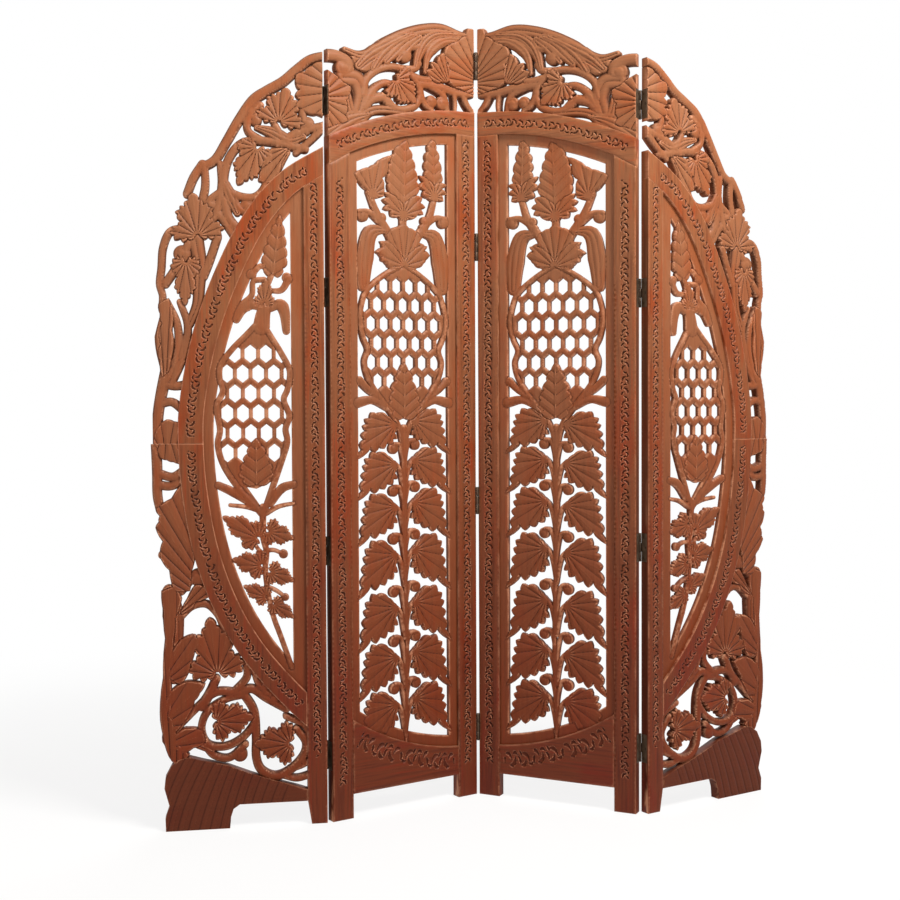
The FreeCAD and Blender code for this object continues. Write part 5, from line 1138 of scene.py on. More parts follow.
UPPER_STEM_SHARES = (
    (((1.03, 0.985), (0.91, 0.972), (0.83, 0.945), (0.75, 0.913), (0.66, 0.888), (0.58, 0.862), (0.5, 0.81),
      (0.43, 0.755), (0.37, 0.712), (0.29, 0.69)), (0.05, 0.06, 0.05)),
    (((0.87, 0.745), (0.8, 0.75), (0.65, 0.762), (0.52, 0.755), (0.44, 0.71), (0.42, 0.65), (0.48, 0.625),
      (0.58, 0.62), (0.64, 0.645), (0.65, 0.68)), (0.05, 0.05, 0.05, 0.04)),
    (((0.8, 0.75), (0.74, 0.775), (0.7, 0.805)), (0.05, 0.04)),
    (((0.62, 0.765), (0.555, 0.785), (0.55, 0.815), (0.6, 0.825)), (0.045, 0.04)),
    (((0.55, 0.8), (0.57, 0.83), (0.62, 0.85)), (0.04, 0.05)),
    (((0.72, 0.755), (0.84, 0.788), (0.94, 0.8), (1.03, 0.81)), (0.05, 0.05)),
    (((0.82, 0.735), (0.92, 0.775), (1.03, 0.83)), (0.04, 0.05)),
    (((0.88, 0.79), (0.86, 0.82), (0.86, 0.85)), (0.05, 0.05)),
    (((0.4, 0.7), (0.405, 0.65), (0.385, 0.595), (0.35, 0.56), (0.28, 0.535)), (0.045, 0.05, 0.05)),
    (((0.3, 0.7), (0.25, 0.665), (0.215, 0.625)), (0.05, 0.05)),
    (((0.31, 0.7), (0.315, 0.65), (0.3, 0.61)), (0.045, 0.05)),
    (((0.39, 0.63), (0.34, 0.61), (0.32, 0.585)), (0.04, 0.05)),
    (((0.43, 0.65), (0.47, 0.61), (0.525, 0.585), (0.6, 0.588), (0.66, 0.59)), (0.05, 0.05)),
    (((0.42, 0.61), (0.44, 0.57), (0.49, 0.54)), (0.06, 0.05)),
    (((0.39, 0.575), (0.43, 0.55), (0.47, 0.52)), (0.05, 0.04)),
    (((0.2, 0.54), (0.12, 0.53), (0.08, 0.49), (0.07, 0.44), (0.06, 0.4), (0.075, 0.37), (0.07, 0.34)),
     (0.045, 0.045, 0.04)),
    (((0.26, 0.51), (0.28, 0.45), (0.275, 0.4), (0.265, 0.35), (0.22, 0.3)), (0.09, 0.07, 0.05)),
    (((0.38, 0.52), (0.335, 0.46), (0.3, 0.42)), (0.05, 0.05)),
    (((0.22, 0.5), (0.15, 0.44), (0.09, 0.4)), (0.05, 0.05)),
    (((0.1, 0.355), (0.15, 0.305), (0.16, 0.25), (0.13, 0.19), (0.08, 0.15)), (0.04, 0.05, 0.04)),
    (((0.17, 0.355), (0.21, 0.3), (0.2, 0.25), (0.17, 0.2), (0.12, 0.15)), (0.04, 0.05, 0.04)),
    (((0.1, 0.2), (0.065, 0.13), (0.045, 0.08), (0.04, 0.04), (0.045, -0.02)), (0.07, 0.06, 0.06)),
    (((0.08, 0.15), (0.14, 0.145), (0.21, 0.15)), (0.05, 0.05)),
    (((0.05, 0.1), (0.12, 0.105), (0.18, 0.085)), (0.05, 0.05)),
)
UPPER_BALL_SHARES = (((0.595, 0.815), 0.038), ((0.885, 0.808), 0.041), ((0.34, 0.598), 0.041),
                     ((0.545, 0.596), 0.044), ((0.185, 0.475), 0.05), ((0.64, 0.59), 0.035))
# The base, the tip and half the width of each leaf with five lobes
UPPER_LEAF_SHARES = (((0.725, 0.81), (0.772, 0.897), 0.145), ((0.27, 0.52), (0.243, 0.628), 0.155),
                     ((0.605, 0.745), (0.492, 0.65), 0.115), ((0.205, 0.458), (0.195, 0.345), 0.088))
UPPER_PATCH_SHARES = (
    # A half fan, a gouged leaf, a serrated blade and half a flower.
    ((1.03, 0.965), (0.95, 0.965), (0.91, 0.955), (0.87, 0.94), (0.82, 0.93), (0.82, 0.905), (0.84, 0.893),
     (0.815, 0.88), (0.84, 0.868), (0.815, 0.852), (0.86, 0.842), (0.89, 0.832), (0.94, 0.832),
     (1.03, 0.822)),
    ((0.61, 0.66), (0.62, 0.69), (0.65, 0.72), (0.68, 0.745), (0.78, 0.745), (0.74, 0.705),
     (0.725, 0.68), (0.67, 0.655)),
    ((0.05, 0.35), (0.11, 0.365), (0.135, 0.32), (0.125, 0.285), (0.135, 0.25), (0.12, 0.21), (0.105, 0.18),
     (0.065, 0.165), (0.055, 0.21), (0.045, 0.225), (0.06, 0.25), (0.052, 0.28), (0.067, 0.3),
     (0.058, 0.325)),
    ((0.015, -0.02), (0.02, 0.02), (0.045, 0.045), (0.09, 0.062), (0.13, 0.057), (0.17, 0.05),
     (0.18, -0.02)),
)
UPPER_GOUGES = (((1.09, 0.893), 9), ((0.79, 0.75), 4), ((0.085, 0.12), 3), ((0.09, -0.045), 6))
LOWER_STEM_SHARES = (
    (((0.03, 1.02), (0.035, 0.93), (0.035, 0.87), (0.05, 0.83)), (0.06, 0.05)),
    (((0.04, 0.925), (0.12, 0.915), (0.19, 0.935)), (0.05, 0.05)),
    (((0.04, 0.895), (0.11, 0.892), (0.19, 0.908)), (0.05, 0.05)),
    (((0.15, 0.55), (0.22, 0.58), (0.3, 0.585), (0.36, 0.56), (0.39, 0.53), (0.42, 0.49)), (0.04, 0.05)),
    (((0.35, 0.39), (0.31, 0.35), (0.27, 0.32)), (0.05, 0.06)),
    (((0.13, 0.265), (0.25, 0.32), (0.35, 0.355), (0.47, 0.352), (0.55, 0.36), (0.63, 0.335),
      (0.74, 0.305)), (0.04, 0.05, 0.05)),
    (((0.45, 0.355), (0.52, 0.39), (0.52, 0.43)), (0.04, 0.05)),
    (((0.5, 0.35), (0.56, 0.3), (0.57, 0.23), (0.57, 0.18), (0.6, 0.145), (0.68, 0.128), (0.77, 0.145),
      (0.84, 0.18), (0.85, 0.215), (0.8, 0.25)), (0.05, 0.05, 0.045)),
    (((0.5, 0.345), (0.4, 0.335), (0.3, 0.305), (0.265, 0.26), (0.3, 0.22), (0.4, 0.212), (0.5, 0.235),
      (0.57, 0.275)), (0.04, 0.045, 0.04)),
    (((0.28, 0.225), (0.33, 0.192), (0.42, 0.182), (0.51, 0.215)), (0.045, 0.04)),
    (((0.56, 0.41), (0.59, 0.37), (0.65, 0.345)), (0.04, 0.04)),
    (((0.74, 0.285), (0.85, 0.255), (0.89, 0.19)), (0.04, 0.04)),
    (((0.76, 0.145), (0.83, 0.155), (0.89, 0.17)), (0.04, 0.04)),
    (((0.72, 0.13), (0.8, 0.12), (0.89, 0.13)), (0.04, 0.04)),
    (((0.16, 0.62), (0.24, 0.655), (0.32, 0.64)), (0.05, 0.04)),
)
LOWER_BALL_SHARES = (((0.256, 0.655), 0.05), ((0.48, 0.19), 0.042), ((0.62, 0.368), 0.034),
                     ((0.67, 0.333), 0.036))
LOWER_PATCH_SHARES = (
    # Half a flower, a gouged mass, the edge strip, three broad blades and a curl.
    ((0.015, 1.02), (0.05, 0.965), (0.09, 0.958), (0.125, 0.953), (0.17, 0.948), (0.175, 1.02)),
    ((0.18, 0.905), (0.11, 0.86), (0.025, 0.835), (0.045, 0.815), (0.04, 0.8), (0.022, 0.785), (0.06, 0.75),
     (0.045, 0.72), (0.055, 0.7), (0.095, 0.675), (0.12, 0.62), (0.21, 0.62), (0.22, 0.67),
     (0.24, 0.71), (0.225, 0.76), (0.21, 0.83)),
    ((0.05, 0.622), (0.13, 0.635), (0.165, 0.6), (0.13, 0.55), (0.12, 0.5), (0.1, 0.42), (0.1, 0.3),
     (0.14, 0.225), (0.2, 0.195), (0.13, 0.165), (0.08, 0.195), (0.05, 0.25), (0.035, 0.31),
     (0.055, 0.4), (0.068, 0.5), (0.06, 0.57)),
    ((0.08, 0.4), (0.1, 0.46), (0.15, 0.495), (0.22, 0.508), (0.27, 0.49), (0.235, 0.465),
     (0.21, 0.43), (0.19, 0.4), (0.15, 0.378)),
    ((0.06, 0.33), (0.09, 0.36), (0.15, 0.382), (0.21, 0.388), (0.29, 0.378), (0.26, 0.355),
     (0.23, 0.335), (0.21, 0.31), (0.17, 0.28), (0.11, 0.25)),
    ((0.09, 0.235), (0.15, 0.262), (0.2, 0.266), (0.27, 0.26), (0.29, 0.225), (0.22, 0.212), (0.15, 0.195)),
    ((0.15, 0.56), (0.19, 0.6), (0.24, 0.638), (0.29, 0.632), (0.32, 0.605), (0.24, 0.59), (0.21, 0.57)),
)
LOWER_GOUGES = (((0.09, 1.045), 6), ((0.4, 0.56), 7), ((0.12, -0.1), 4), ((0.03, 0.375), 4),
                ((0.03, 0.27), 4), ((0.03, 0.215), 3), ((0.1, 0.545), 3))
LOWER_LEAF_SHARES = (((0.358, 0.403), (0.315, 0.55), 0.165), ((0.345, 0.28), (0.56, 0.288), 0.125),
                     ((0.765, 0.213), (0.555, 0.218), 0.13))
FOOT_TOP_SHARES = (
    (0.9, 0.085), (0.795, 0.102), (0.667, 0.12), (0.538, 0.141), (0.41, 0.165), (0.282, 0.179), (0.2, 0.19),
    (0.15, 0.186), (0.1, 0.171),
)
FOOT_NEAR_SHARE = (1.0, 0.08)
FOOT_BEYOND_SHARE = (-1.0, 0.171)


def outer_fret():
    """The pierced board of an outer panel."""
    grid = LENS_GRID
    whole = cut_line(FRET_LIP - BOW, OUTER_STILE - FRET_LIP, 0, OPEN_ENDED)
    opening = cut_line(-BOW - SIDE_MARGIN, OUTER_STILE + LENS_MARGIN, 0, OPEN_ENDED)
    far, near = LENS_BULB_FAR_SHARES, LENS_BULB_NEAR_SHARES
    forms = [Border(whole, opening),
             Lattice(grid, far + near[-2:0:-1], LENS_HONEYCOMB_TOP_SHARES, LENS_FOOT_SHARES)]
    forms += [Stem(grid, side, LENS_BORDER_SHARES) for side in (far, near)]
    forms += [Stem(grid, points, widths) for points, widths in LENS_STEM_SHARES]
    forms += [Ball(grid, centre, radius) for centre, radius in LENS_BALL_SHARES]
    forms += [lobed(grid, *leaf, pairs, **FRET_LEAF) for leaf, pairs in LENS_LEAF_SHARES]
    return carved(forms, whole, FRET_SETBACK, FRET_THICK, FRET_STEP)


# Fluted blades: path, widths and flutes
UPPER_BLADES = (
    (((0.1, 0.335), (0.085, 0.29), (0.075, 0.24), (0.085, 0.185)), (0.06, 0.1, 0.05), 3),
    (((0.62, 0.665), (0.68, 0.69), (0.73, 0.715), (0.775, 0.735)), (0.03, 0.09, 0.03), 3),
    (((0.42, 0.655), (0.46, 0.615), (0.49, 0.58)), (0.05, 0.08, 0.04), 3),
    (((0.86, 0.775), (0.78, 0.765), (0.68, 0.785), (0.6, 0.795)), (0.04, 0.08, 0.03), 3),
)
LOWER_BLADES = (
    (((0.095, 0.62), (0.115, 0.56), (0.12, 0.49)), (0.08, 0.12, 0.1), 4),
    (((0.23, 0.5), (0.17, 0.47), (0.12, 0.4)), (0.03, 0.1, 0.09), 3),
    (((0.27, 0.372), (0.19, 0.368), (0.13, 0.32), (0.095, 0.24)), (0.03, 0.11, 0.1), 4),
    (((0.32, 0.205), (0.25, 0.225), (0.18, 0.25), (0.11, 0.225)), (0.04, 0.08, 0.06), 3),
    (((0.24, 0.85), (0.13, 0.8), (0.055, 0.78)), (0.1, 0.12, 0.05), 3),
    (((0.24, 0.79), (0.14, 0.74), (0.06, 0.715)), (0.1, 0.12, 0.05), 3),
)


def side_carving(grid, stems, balls, blades, patches, gouges, leaves, area):
    """A carving on the outer edge of a bow."""
    forms = scrolls(grid, stems)
    forms += [Stem(grid, points, widths, drop=5.5, top=-0.4, flutes=flutes)
              for points, widths, flutes in blades]
    forms += [Ball(grid, centre, radius, top=0.0, drop=7.0) for centre, radius in balls]
    forms += [fanned(grid, points, *cuts, **CARVED_FAN) for points, cuts in zip(patches, gouges)]
    forms += [lobed(grid, *leaf, **CARVED_LEAF) for leaf in leaves]
    return carved(forms, area, CARVING_SETBACK, CARVING_THICK, CARVING_STEP)


def upper_carving():
    """The carving on the upper half of a bow, with room for the plate of its top hinge."""
    limit = PANELS["panel_4"].local_points("outer_carving_upper")
    line = cut_line(-TUCK, 0, JOINT_Z + SPLIT_GAP, OPEN_ENDED)
    far, top = limit[:, 0].max(), limit[:, 2].max()
    area = np.vstack((line[::-1], notched(0, 1, SIDE_HINGE_Z), ((0, top), (far, top), (far, line[-1][1]))))
    return side_carving(UPPER_GRID, UPPER_STEM_SHARES, UPPER_BALL_SHARES, UPPER_BLADES, UPPER_PATCH_SHARES,
                        UPPER_GOUGES, UPPER_LEAF_SHARES, area)


def lower_carving():
    """The carving on the lower half of a bow, down to the top of the foot."""
    far = PANELS["panel_4"].local_points("outer_carving_lower")[:, 0].max()
    line = cut_line(-TUCK, OUTER_STILE - TUCK, 0, JOINT_Z - SPLIT_GAP)
    base = LOWER_GRID.points((FOOT_NEAR_SHARE,) + FOOT_TOP_SHARES + (FOOT_BEYOND_SHARE,)) - (0, TUCK)
    start = cross_at(base, 0, line[-1][0])
    end = cross_at(base, 0, far)
    ground = base[(base[:, 0] > start[0] + END_CLEAR) & (base[:, 0] < far - END_CLEAR)]
    area = np.vstack((line, [start], ground, [end], [(far, line[0][1])]))
    return side_carving(LOWER_GRID, LOWER_STEM_SHARES, LOWER_BALL_SHARES, LOWER_BLADES, LOWER_PATCH_SHARES,
                        LOWER_GOUGES, LOWER_LEAF_SHARES, area)


def bow(upper):
    """One half of a bow, above the splice or below it."""
    heights = (JOINT_Z, OPEN_ENDED) if upper else (0, JOINT_Z)
    outer = cut_line(0, 0 if upper else OUTER_STILE, *heights)
    inner = cut_line(-BOW, OUTER_STILE, *heights)
    corner = [(0, cross_at(bow_line(-BOW), 0, 0)[1])] if upper else []
    outline = np.vstack([outer, inner[::-1]] + ([corner] if upper else []))
    middle = bow_line(-BOW / 2)
    locate = beside(middle)
    total = locate(middle[-1:])[0][0]
    splice = locate(np.array([cross_at(middle, 1, JOINT_Z)]))[0][0]
    first, last = (70, splice - BAND_CLEAR) if upper else (splice + BAND_CLEAR, total - 130)
    slab = Slab(outline, Band(locate, first, last))
    return carved([slab], outline, 0, THICK, CARVING_STEP, coarse_step=BOW_STEP)


def foot_gouges(points):
    """Slanting hollows across a foot board, with ridges between them."""
    x, z = points[:, 0], points[:, 1]
    slant = (x + z * 0.22 + z ** 2 / 1100 + 4 * np.sin(x / 31)) / FOOT_PITCH
    near = np.abs((slant % 1) - 0.5) * FOOT_PITCH
    return (0.2 + 1.2 * np.exp(-(near / 1.8) ** 2) + 0.7 * (slant % 1)) * ease((x - 66) / 30)


def banded(panels, node, grain, band):
    """A frame piece with a carved band, as a row of the table of wood."""
    return panels, node, grain, "frame", lambda: dressed(panels[0], node, band.sink, band.holds)


def foot():
    """The bracket foot of an outer panel."""
    return dressed(OUTER_PANELS[0], "foot", foot_gouges, lambda points: foot_gouges(points) > 0, FOOT_STEP)


# Every wooden piece: the panels that it stands in, its node, its grain, its material and its shape
WOOD = (
    banded(INNER_PANELS, "centre_stile", "up", Band(straight(STILE / 2), 78, 1560)),
    banded(INNER_PANELS, "outer_stile", "up", Band(straight(FAR_INSIDE + STILE / 2), 78, 1440)),
    banded(INNER_PANELS, "arch_rail", "across", Band(round_about(ARCH_Z, ARCH_R - 27), 16, 384)),
    banded(INNER_PANELS, "bottom_rail", "across",
           Band(round_about(BASE_Z, -(BASE_R + 33)), 64, 338, half=24, pitch=74)),
    (INNER_PANELS, "fret_board", "up", "carving", inner_fret),
    (INNER_PANELS, "crest", "across", "carving", crest),
    banded(OUTER_PANELS, "hinge_stile", "up", Band(straight(OUTER_STILE / 2), 150, 1452, half=10.5)),
    (OUTER_PANELS, "bow_upper", "up", "frame", lambda: bow(True)),
    (OUTER_PANELS, "bow_lower", "up", "frame", lambda: bow(False)),
    (OUTER_PANELS, "fret_board", "up", "carving", outer_fret),
    (OUTER_PANELS, "outer_carving_upper", "up", "carving", upper_carving),
    (OUTER_PANELS, "outer_carving_lower", "up", "carving", lower_carving),
    (OUTER_PANELS, "foot", "across", "foot", foot),
)


# Shader maths and materials
class Value:
    """What a socket gives. Sums and products of values add Math nodes to their finish."""

    def __init__(self, finish, socket):
        self.finish = finish
        self.socket = socket

    def math(self, operation, other, swapped=False):
        terms = (other, self) if swapped else (self, other)
        return self.finish.node("ShaderNodeMath", {"operation": operation}, dict(enumerate(terms)))

    def __add__(self, other):
        return self.math("ADD", other)

    def __sub__(self, other):
        return self.math("SUBTRACT", other)

    def __rsub__(self, other):
        return self.math("SUBTRACT", other, swapped=True)

    def __mul__(self, other):
        return self.math("MULTIPLY", other)

    __radd__ = __add__
    __rmul__ = __mul__

    def between(self, low, high):
        """A soft step from 0 at the low value to 1 at the high one."""
        return self.finish.node("ShaderNodeMapRange", {"interpolation_type": "SMOOTHSTEP"},
                                {"Value": self, "From Min": low, "From Max": high})


class Finish:
    """The nodes of a material or of the world, and the one way in which nodes are added to it."""

    def __init__(self, owner):
        self.owner = owner
        owner.use_nodes = True
        self.tree = owner.node_tree
        self.tree.nodes.clear()

    @staticmethod
    def socket(sockets, key):
        if isinstance(key, int):
            return sockets[key]
        named = [socket for socket in sockets if socket.identifier == key]
        return named[0] if named else sockets[key]

    def node(self, kind, settings=None, values=None, output=0):
        node = self.tree.nodes.new(kind)
        for key, setting in (settings or {}).items():
            setattr(node, key, setting)
        for key, value in (values or {}).items():
            socket = self.socket(node.inputs, key)
            if isinstance(value, Value):
                self.tree.links.new(value.socket, socket)
            else:
                socket.default_value = value
        return Value(self, self.socket(node.outputs, output)) if node.outputs else None

    def attribute(self, name, output="Fac"):
        return self.node("ShaderNodeAttribute", {"attribute_name": name}, output=output)

    def scaled(self, vector, scale):
        return self.node("ShaderNodeVectorMath", {"operation": "MULTIPLY"}, {0: vector, 1: scale})

    def noise(self, vector, scale, detail=3.0, roughness=0.5):
        """Noise with features of the given size along each axis."""
        return self.node("ShaderNodeTexNoise", {}, {"Vector": self.scaled(vector, scale), "Scale": 1.0,
                                                    "Detail": detail, "Roughness": roughness}, "Fac")

    def mixed(self, share, low, high, blend="MIX"):
        return self.node("ShaderNodeMix", {"data_type": "RGBA", "blend_type": blend},
                         {"Factor_Float": share, "A_Color": low, "B_Color": high}, "Result_Color")

    def close(self, shader, output="ShaderNodeOutputMaterial"):
        self.node(output, {}, {"Surface": shader})
        return self.owner


def rgb(red, green, blue):
    """A colour from its everyday 0 to 255 values."""
    def linear(value):
        value /= 255
        return value / 12.92 if value <= 0.04045 else ((value + 0.055) / 1.055) ** 2.4
    return (linear(red), linear(green), linear(blue), 1.0)


def wood(name, head, foot, varnish, varnish_share, coat, dirt_and_shade_share, dirt_and_shade_span, streak_share):
    """Stained and varnished hardwood. It is paler towards the head of the screen, partly by fading and partly
    as painted light from above, with dark streaks along the grain, dirt and painted shade in the hollows,
    painted shade in the creases and wear on the ridges."""
    finish = Finish(bpy.data.materials.new(name))
    grain = finish.attribute("grain", "Vector")
    hollow = finish.attribute("hollow")
    ridge = finish.attribute("ridge")
    rise = finish.attribute("rise")
    cloud = finish.noise(grain, (0.012, 0.012, 0.005), 4.0, 0.6)
    streak = finish.noise(grain, (0.17, 0.17, 0.006), 5.0, 0.62)
    fibre = finish.noise(grain, (0.95, 0.95, 0.035), 3.0, 0.6)
    patch = finish.noise(grain, (0.045, 0.045, 0.02), 3.0, 0.55)

    # From foot to head the colour grows paler: partly fading, partly painted light falling from above.
    colour = finish.mixed((rise + (cloud - 0.5) * 0.30).between(0.02, 0.98), foot, head)
    stained = finish.mixed(varnish_share, colour, varnish, "MULTIPLY")
    colour = finish.mixed(cloud.between(0.42, 0.66), colour, stained)
    colour = finish.mixed(streak.between(0.46, 0.72) * streak_share, colour, rgb(158, 110, 86), "MULTIPLY")
    colour = finish.mixed(fibre.between(0.36, 0.70) * 0.20, colour, rgb(200, 172, 150), "MULTIPLY")
    colour = finish.mixed(streak.between(0.50, 0.26) * streak_share, colour, rgb(226, 136, 78), "SOFT_LIGHT")
    # Painted shade with some dirt: the recesses are darkened by their depth, patchily, towards rgb(52, 21,
    # 11).
    dirt_and_shade = hollow.between(*dirt_and_shade_span) * (0.75 + patch * 0.5)
    colour = finish.mixed(dirt_and_shade * dirt_and_shade_share, colour, rgb(52, 21, 11))
    # Painted shade: creases, where the surface bends inwards, are multiplied darker.
    crease_shade = (0.0 - ridge).between(0.04, 0.32)
    colour = finish.mixed(crease_shade * 0.80, colour, rgb(66, 32, 20), "MULTIPLY")
    worn = ridge.between(0.08, 0.34) * patch.between(0.30, 0.58)
    colour = finish.mixed(worn * 0.60, colour, rgb(214, 152, 116))

    roughness = 0.50 + fibre * 0.12 + dirt_and_shade * 0.15 - cloud.between(0.42, 0.66) * 0.07
    height = fibre * 0.35 + streak * 0.35 + patch * 0.4
    bump = finish.node("ShaderNodeBump", {}, {"Strength": 0.40, "Distance": 0.0007, "Height": height})
    return finish.close(finish.node("ShaderNodeBsdfPrincipled", {}, {
        "Base Color": colour, "Roughness": roughness, "Normal": bump, "Specular IOR Level": 0.16,
        "Coat Weight": (1.0 - dirt_and_shade) * coat, "Coat Roughness": 0.34}))


def hinge_metal():
    """Old dark steel, worn brighter on its edges and brown in patches."""
    finish = Finish(bpy.data.materials.new("hinge_metal"))
    place = finish.attribute("grain", "Vector")
    ridge = finish.attribute("ridge")
    cloud = finish.noise(place, (0.11, 0.11, 0.08), 4.0, 0.65)
    speck = finish.noise(place, (0.9, 0.9, 0.9), 3.0, 0.6)
    rust = cloud.between(0.50, 0.70)
    colour = finish.mixed(speck.between(0.35, 0.70), rgb(52, 42, 36), rgb(84, 68, 56))
    colour = finish.mixed(rust * 0.7, colour, rgb(88, 52, 34))
    worn = ridge.between(0.12, 0.50) * (0.4 + speck * 0.6)
    colour = finish.mixed(worn * 0.6, colour, rgb(148, 126, 102))
    bump = finish.node("ShaderNodeBump", {}, {"Strength": 0.25, "Distance": 0.0003, "Height": speck + cloud})
    return finish.close(finish.node("ShaderNodeBsdfPrincipled", {}, {
        "Base Color": colour, "Metallic": 0.9 - rust * 0.6, "Roughness": 0.36 + speck * 0.25 + rust * 0.2,
        "Normal": bump}))


# The head and foot colours differ partly as painted light from above, which makes the head paler.
MATERIALS = {
    "frame": wood("frame_wood", head=rgb(146, 92, 57), foot=rgb(100, 42, 16), varnish=rgb(252, 178, 108),
                  varnish_share=0.80, coat=0.10, dirt_and_shade_share=0.52, dirt_and_shade_span=(0.8, 4.2), streak_share=0.55),
    "carving": wood("carved_wood", head=rgb(152, 99, 66), foot=rgb(110, 49, 21), varnish=rgb(250, 196, 144),
                    varnish_share=0.60, coat=0.05, dirt_and_shade_share=0.82, dirt_and_shade_span=(1.6, 6.5), streak_share=0.22),
    "foot": wood("foot_wood", head=rgb(140, 84, 50), foot=rgb(90, 39, 17), varnish=rgb(240, 190, 150),
                 varnish_share=0.60, coat=0.06, dirt_and_shade_share=0.60, dirt_and_shade_span=(0.3, 2.4), streak_share=0.14),
    "metal": hinge_metal(),
}
METAL_SLOT = "hinge_metal"
SLOTS = {"frame": "frame_wood", "carving": "carved_wood", "foot": "frame_wood", "metal": METAL_SLOT}


# Hinges
KNUCKLE_RADIUS = 3.0
BORE_RADIUS = 1.72
PIN_RADIUS = 1.6
KNUCKLE_GAP = 0.2
KNUCKLE_EDGE = 0.35
KNUCKLE_SIDES = 24
PIN_SIDES = 20
# The end of a pin: how wide it is at each height
PIN_END = ((0.9, 0), (1.4, 0.25), (PIN_RADIUS, 0.7))
HINGE = 65
LEAF = 1.5
LEAF_REACH = 19
LEAF_EDGE = 0.25
NECK = 2.1
# Screws of a leaf: how far each is above the middle of the hinge, and how far in from the face
SCREWS = ((-23, 8), (0, 14), (23, 8))
SCREW_RADIUS = 2.9
HALF_SLOT = 0.35
SCREW_RIM = (-0.3, 0.12)
SCREW_TOP = 0.32
SCREW_TOP_SHARE = 0.55
OUTER_HINGE_HEIGHTS = (147, 607, 1185, SIDE_HINGE_Z)
MIDDLE_HINGE_HEIGHTS = (163, 706, 1308, CREST_HINGE_Z)


class Forge:
    """Metal shapes gathered into one piece."""

    def __init__(self):
        self.points = []
        self.faces = []

    def add(self, points, faces):
        first = len(self.points)
        self.points += [tuple(point) for point in points]
        self.faces += [tuple(first + index for index in face) for face in faces]

    def turned(self, place, rings, closed, sides):
        """A turned shape from rings of (radius, height). It is closed into a tube, or has end faces."""
        turns = np.arange(sides) * 2 * math.pi / sides
        points, faces = [], []
        for radius, height in rings:
            for turn in turns:
                local = (radius * math.cos(turn), radius * math.sin(turn), height)
                points.append(np.add(place, local))
        count = len(rings)
        for ring in range(count if closed else count - 1):
            for side in range(sides):
                near, far = ring * sides, (ring + 1) % count * sides
                after = (side + 1) % sides
                faces.append((near + side, near + after, far + after, far + side))
        if not closed:
            faces.append(tuple(range(sides))[::-1])
            faces.append(tuple(range((count - 1) * sides, count * sides)))
        self.add(points, faces)

    def block(self, low, high, chamfer):
        """A block with chamfered edges."""
        net = bmesh.new()
        bmesh.ops.create_cube(net, size=1)
        middle, size = np.add(low, high) / 2, np.subtract(high, low)
        for vert in net.verts:
            vert.co = Vector(middle + np.array(vert.co) * size)
        bmesh.ops.bevel(net, geom=net.edges[:], offset=chamfer, segments=2, affect="EDGES")
        net.verts.index_update()
        self.add([tuple(vert.co) for vert in net.verts],
                 [[vert.index for vert in face.verts] for face in net.faces])
        net.free()

    def screw(self, place, outward):
        """A flush slotted screw head: a shallow dome in two halves, with a slot between them."""
        start = math.asin(HALF_SLOT / SCREW_RADIUS)
        turns = np.linspace(start, math.pi - start, 9)
        for side in (1, -1):
            rim = [(SCREW_RADIUS * math.cos(turn), side * SCREW_RADIUS * math.sin(turn)) for turn in turns]
            inner = [(x * SCREW_TOP_SHARE, side * HALF_SLOT + (z - side * HALF_SLOT) * SCREW_TOP_SHARE)
                     for x, z in rim]
            points = []
            for rise, ring in ((SCREW_RIM[0], rim), (SCREW_RIM[1], rim), (SCREW_TOP, inner)):
                points += [(place[0] + outward * rise, place[1] + x, place[2] + z) for x, z in ring]
            count = len(rim)
            faces = [tuple(range(count)), tuple(range(3 * count - 1, 2 * count - 1, -1))]
            for index in range(count):
                after = (index + 1) % count
                for row in (0, 1):
                    faces.append((row * count + index, (row + 1) * count + index, (row + 1) * count + after,
                                  row * count + after))
            self.add(points, faces)

    def template(self):
        net = bmesh.new()
        verts = [net.verts.new(point) for point in self.points]
        for face in self.faces:
            net.faces.new([verts[index] for index in face])
        bmesh.ops.recalc_face_normals(net, faces=net.faces)
        net.verts.index_update()
        faces = [tuple(vert.index for vert in face.verts) for face in net.faces]
        net.free()
        return Template(np.array(self.points), faces, np.zeros(len(self.points)))


